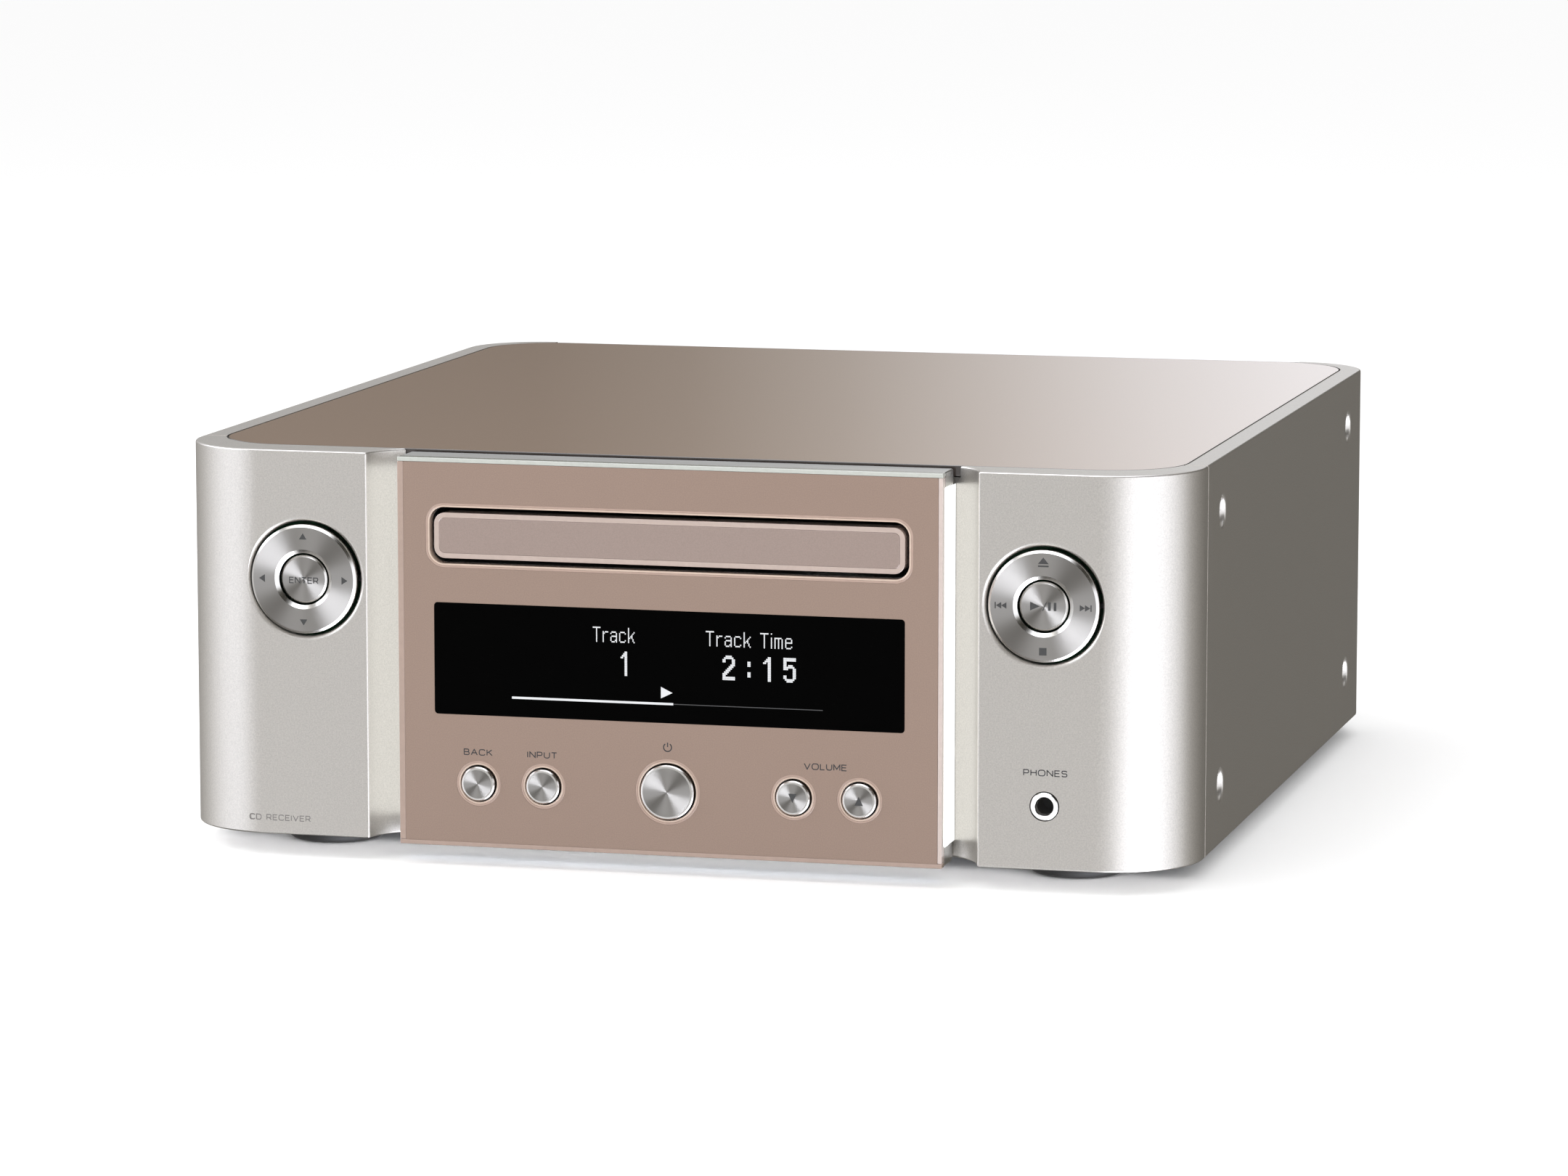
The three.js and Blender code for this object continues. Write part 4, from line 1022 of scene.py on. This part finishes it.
SKY += [(42, HIGH), (54, HIGH), (66, OVERHEAD)]
SKY_TOP = 7.0
# Share and power for red, green and blue, up to the limit: bright boxes are cooler.
TINT = ((1, 0), (1.015, 0.04), (1.05, 0.13))
TINT_LIMIT = 2

MIX_INPUTS, MIX_OUTPUT = (0, 6, 7), 2  # a Mix node's factor and two colours, and its colour

FLOOR_HALF, FLOOR_FRONT, FLOOR_BACK = 30000, -9000, 50000
SENSOR, LENS = 36, 143.6
YAW, PITCH = 14.594, 8.096
AIM = (31.65, 72.5)  # across, and up from the case's bottom
DISTANCE = 1652.5


def math_node(nodes, link, operation, *values):
    node = nodes.new("ShaderNodeMath")
    node.operation = operation
    for socket, value in zip(node.inputs, values):
        if isinstance(value, (int, float)):
            socket.default_value = value
        else:
            link(value, socket)
    return node.outputs[0]


def bearing_ramp(nodes, link, bearing, stops):
    """Brightness at each bearing, as a share of SKY_TOP."""
    ramp = nodes.new("ShaderNodeValToRGB")
    elements = ramp.color_ramp.elements
    for number, (angle, level) in enumerate(stops):
        element = elements[number] if number < 2 else elements.new(1)
        element.position = (angle + 180) / 360
        element.color = (*[level / SKY_TOP] * 3, 1)
    link(bearing, ramp.inputs["Fac"])
    return ramp.outputs["Color"]


def room():
    """White surroundings; reflections see large soft boxes and dark gaps instead."""
    world = bpy.data.worlds.new("studio")
    bpy.context.scene.world = world
    world.use_nodes = True
    nodes, link = world.node_tree.nodes, world.node_tree.links.new
    place = nodes.new("ShaderNodeTexCoord")
    split = nodes.new("ShaderNodeSeparateXYZ")
    link(place.outputs["Generated"], split.inputs["Vector"])
    x, y, z = split.outputs
    front = math_node(nodes, link, "MULTIPLY", y, -1)
    turn = math_node(nodes, link, "ARCTAN2", x, front)
    bearing = math_node(nodes, link, "MULTIPLY_ADD", turn, 0.5 / math.pi, 0.5)
    height = math_node(nodes, link, "ARCSINE", z)
    seen, below = None, None
    for level, stops in SKY:
        colour = bearing_ramp(nodes, link, bearing, stops)
        if seen is not None:
            share = nodes.new("ShaderNodeMapRange")
            share.interpolation_type = "SMOOTHSTEP"
            share.inputs["From Min"].default_value = math.radians(below)
            share.inputs["From Max"].default_value = math.radians(level)
            blend = nodes.new("ShaderNodeMix")
            blend.data_type = "RGBA"
            link(height, share.inputs["Value"])
            for value, number in zip((share.outputs["Result"], seen, colour), MIX_INPUTS):
                link(value, blend.inputs[number])
            colour = blend.outputs[MIX_OUTPUT]
        seen, below = colour, level
    level = math_node(nodes, link, "MULTIPLY", seen, SKY_TOP)
    tinted = nodes.new("ShaderNodeCombineXYZ")
    capped = math_node(nodes, link, "MINIMUM", level, TINT_LIMIT)
    for socket, (share, power) in zip(tinted.inputs, TINT):
        bent = math_node(nodes, link, "POWER", capped, power)
        tint = math_node(nodes, link, "MULTIPLY", bent, share)
        link(math_node(nodes, link, "MULTIPLY", tint, level), socket)
    rays = nodes.new("ShaderNodeLightPath")
    reflected = nodes.new("ShaderNodeBackground")
    link(tinted.outputs[0], reflected.inputs["Color"])
    nodes["Background"].inputs["Color"].default_value = (1, 1, 1, 1)
    choose = nodes.new("ShaderNodeMixShader")
    link(rays.outputs["Is Glossy Ray"], choose.inputs[0])
    link(nodes["Background"].outputs[0], choose.inputs[1])
    link(reflected.outputs[0], choose.inputs[2])
    link(choose.outputs[0], nodes["World Output"].inputs["Surface"])


def studio():
    """White paper under the case, three soft boxes and the room."""
    outline = box_outline(-FLOOR_HALF, FLOOR_HALF, FLOOR_FRONT, FLOOR_BACK)
    floor = mesh("floor", [(x, y, 0) for x, y in outline], [(0, 1, 2, 3)])
    made, shader = material("floor_paper", (0.96, 0.96, 0.96), 0.9, Specular_IOR_Level=0.0)
    floor.data.materials.append(made)
    floor.visible_glossy = False
    room()
    aim = (0, 0, 0.06)
    softbox("top_box", (-0.3, -0.3, 1.6), aim, (1.4, 1.4), 6)
    softbox("left_box", (-1.25, -0.2, 0.45), aim, (0.9, 1.2), 11, False)
    softbox("right_box", (0.75, -1.25, 0.45), aim, (0.45, 1.2), 9, False)


def camera():
    """A long lens, a little above the case and to its right."""
    data = bpy.data.cameras.new("camera")
    data.sensor_width = SENSOR
    data.lens = LENS
    holder = bpy.data.objects.new("camera", data)
    yaw, pitch = math.radians(YAW), math.radians(PITCH)
    back = Vector((math.sin(yaw) * math.cos(pitch), -math.cos(yaw) * math.cos(pitch), math.sin(pitch)))
    target = Vector((AIM[0], FACE, AIM[1] + BOTTOM)) * MM
    holder.location = target + back * DISTANCE * MM
    holder.rotation_mode = "QUATERNION"
    holder.rotation_quaternion = (-back).to_track_quat("-Z", "Y")
    data.clip_start, data.clip_end = 0.05, 100
    bpy.context.scene.collection.objects.link(holder)
    bpy.context.scene.camera = holder


camera()
studio()
dress_frame()
front_panel()
for side, word in ((-1, "left"), (1, "right")):
    side_panel(side, word)
    side_screws(side, word)
top_plate()
feet()
front_plate()
light_strips()
push_buttons()
tray_door()
rings()
ring_marks()
phones_jack()
labels()
display()
terminals()

bpy.context.scene.view_settings.view_transform = "Standard"
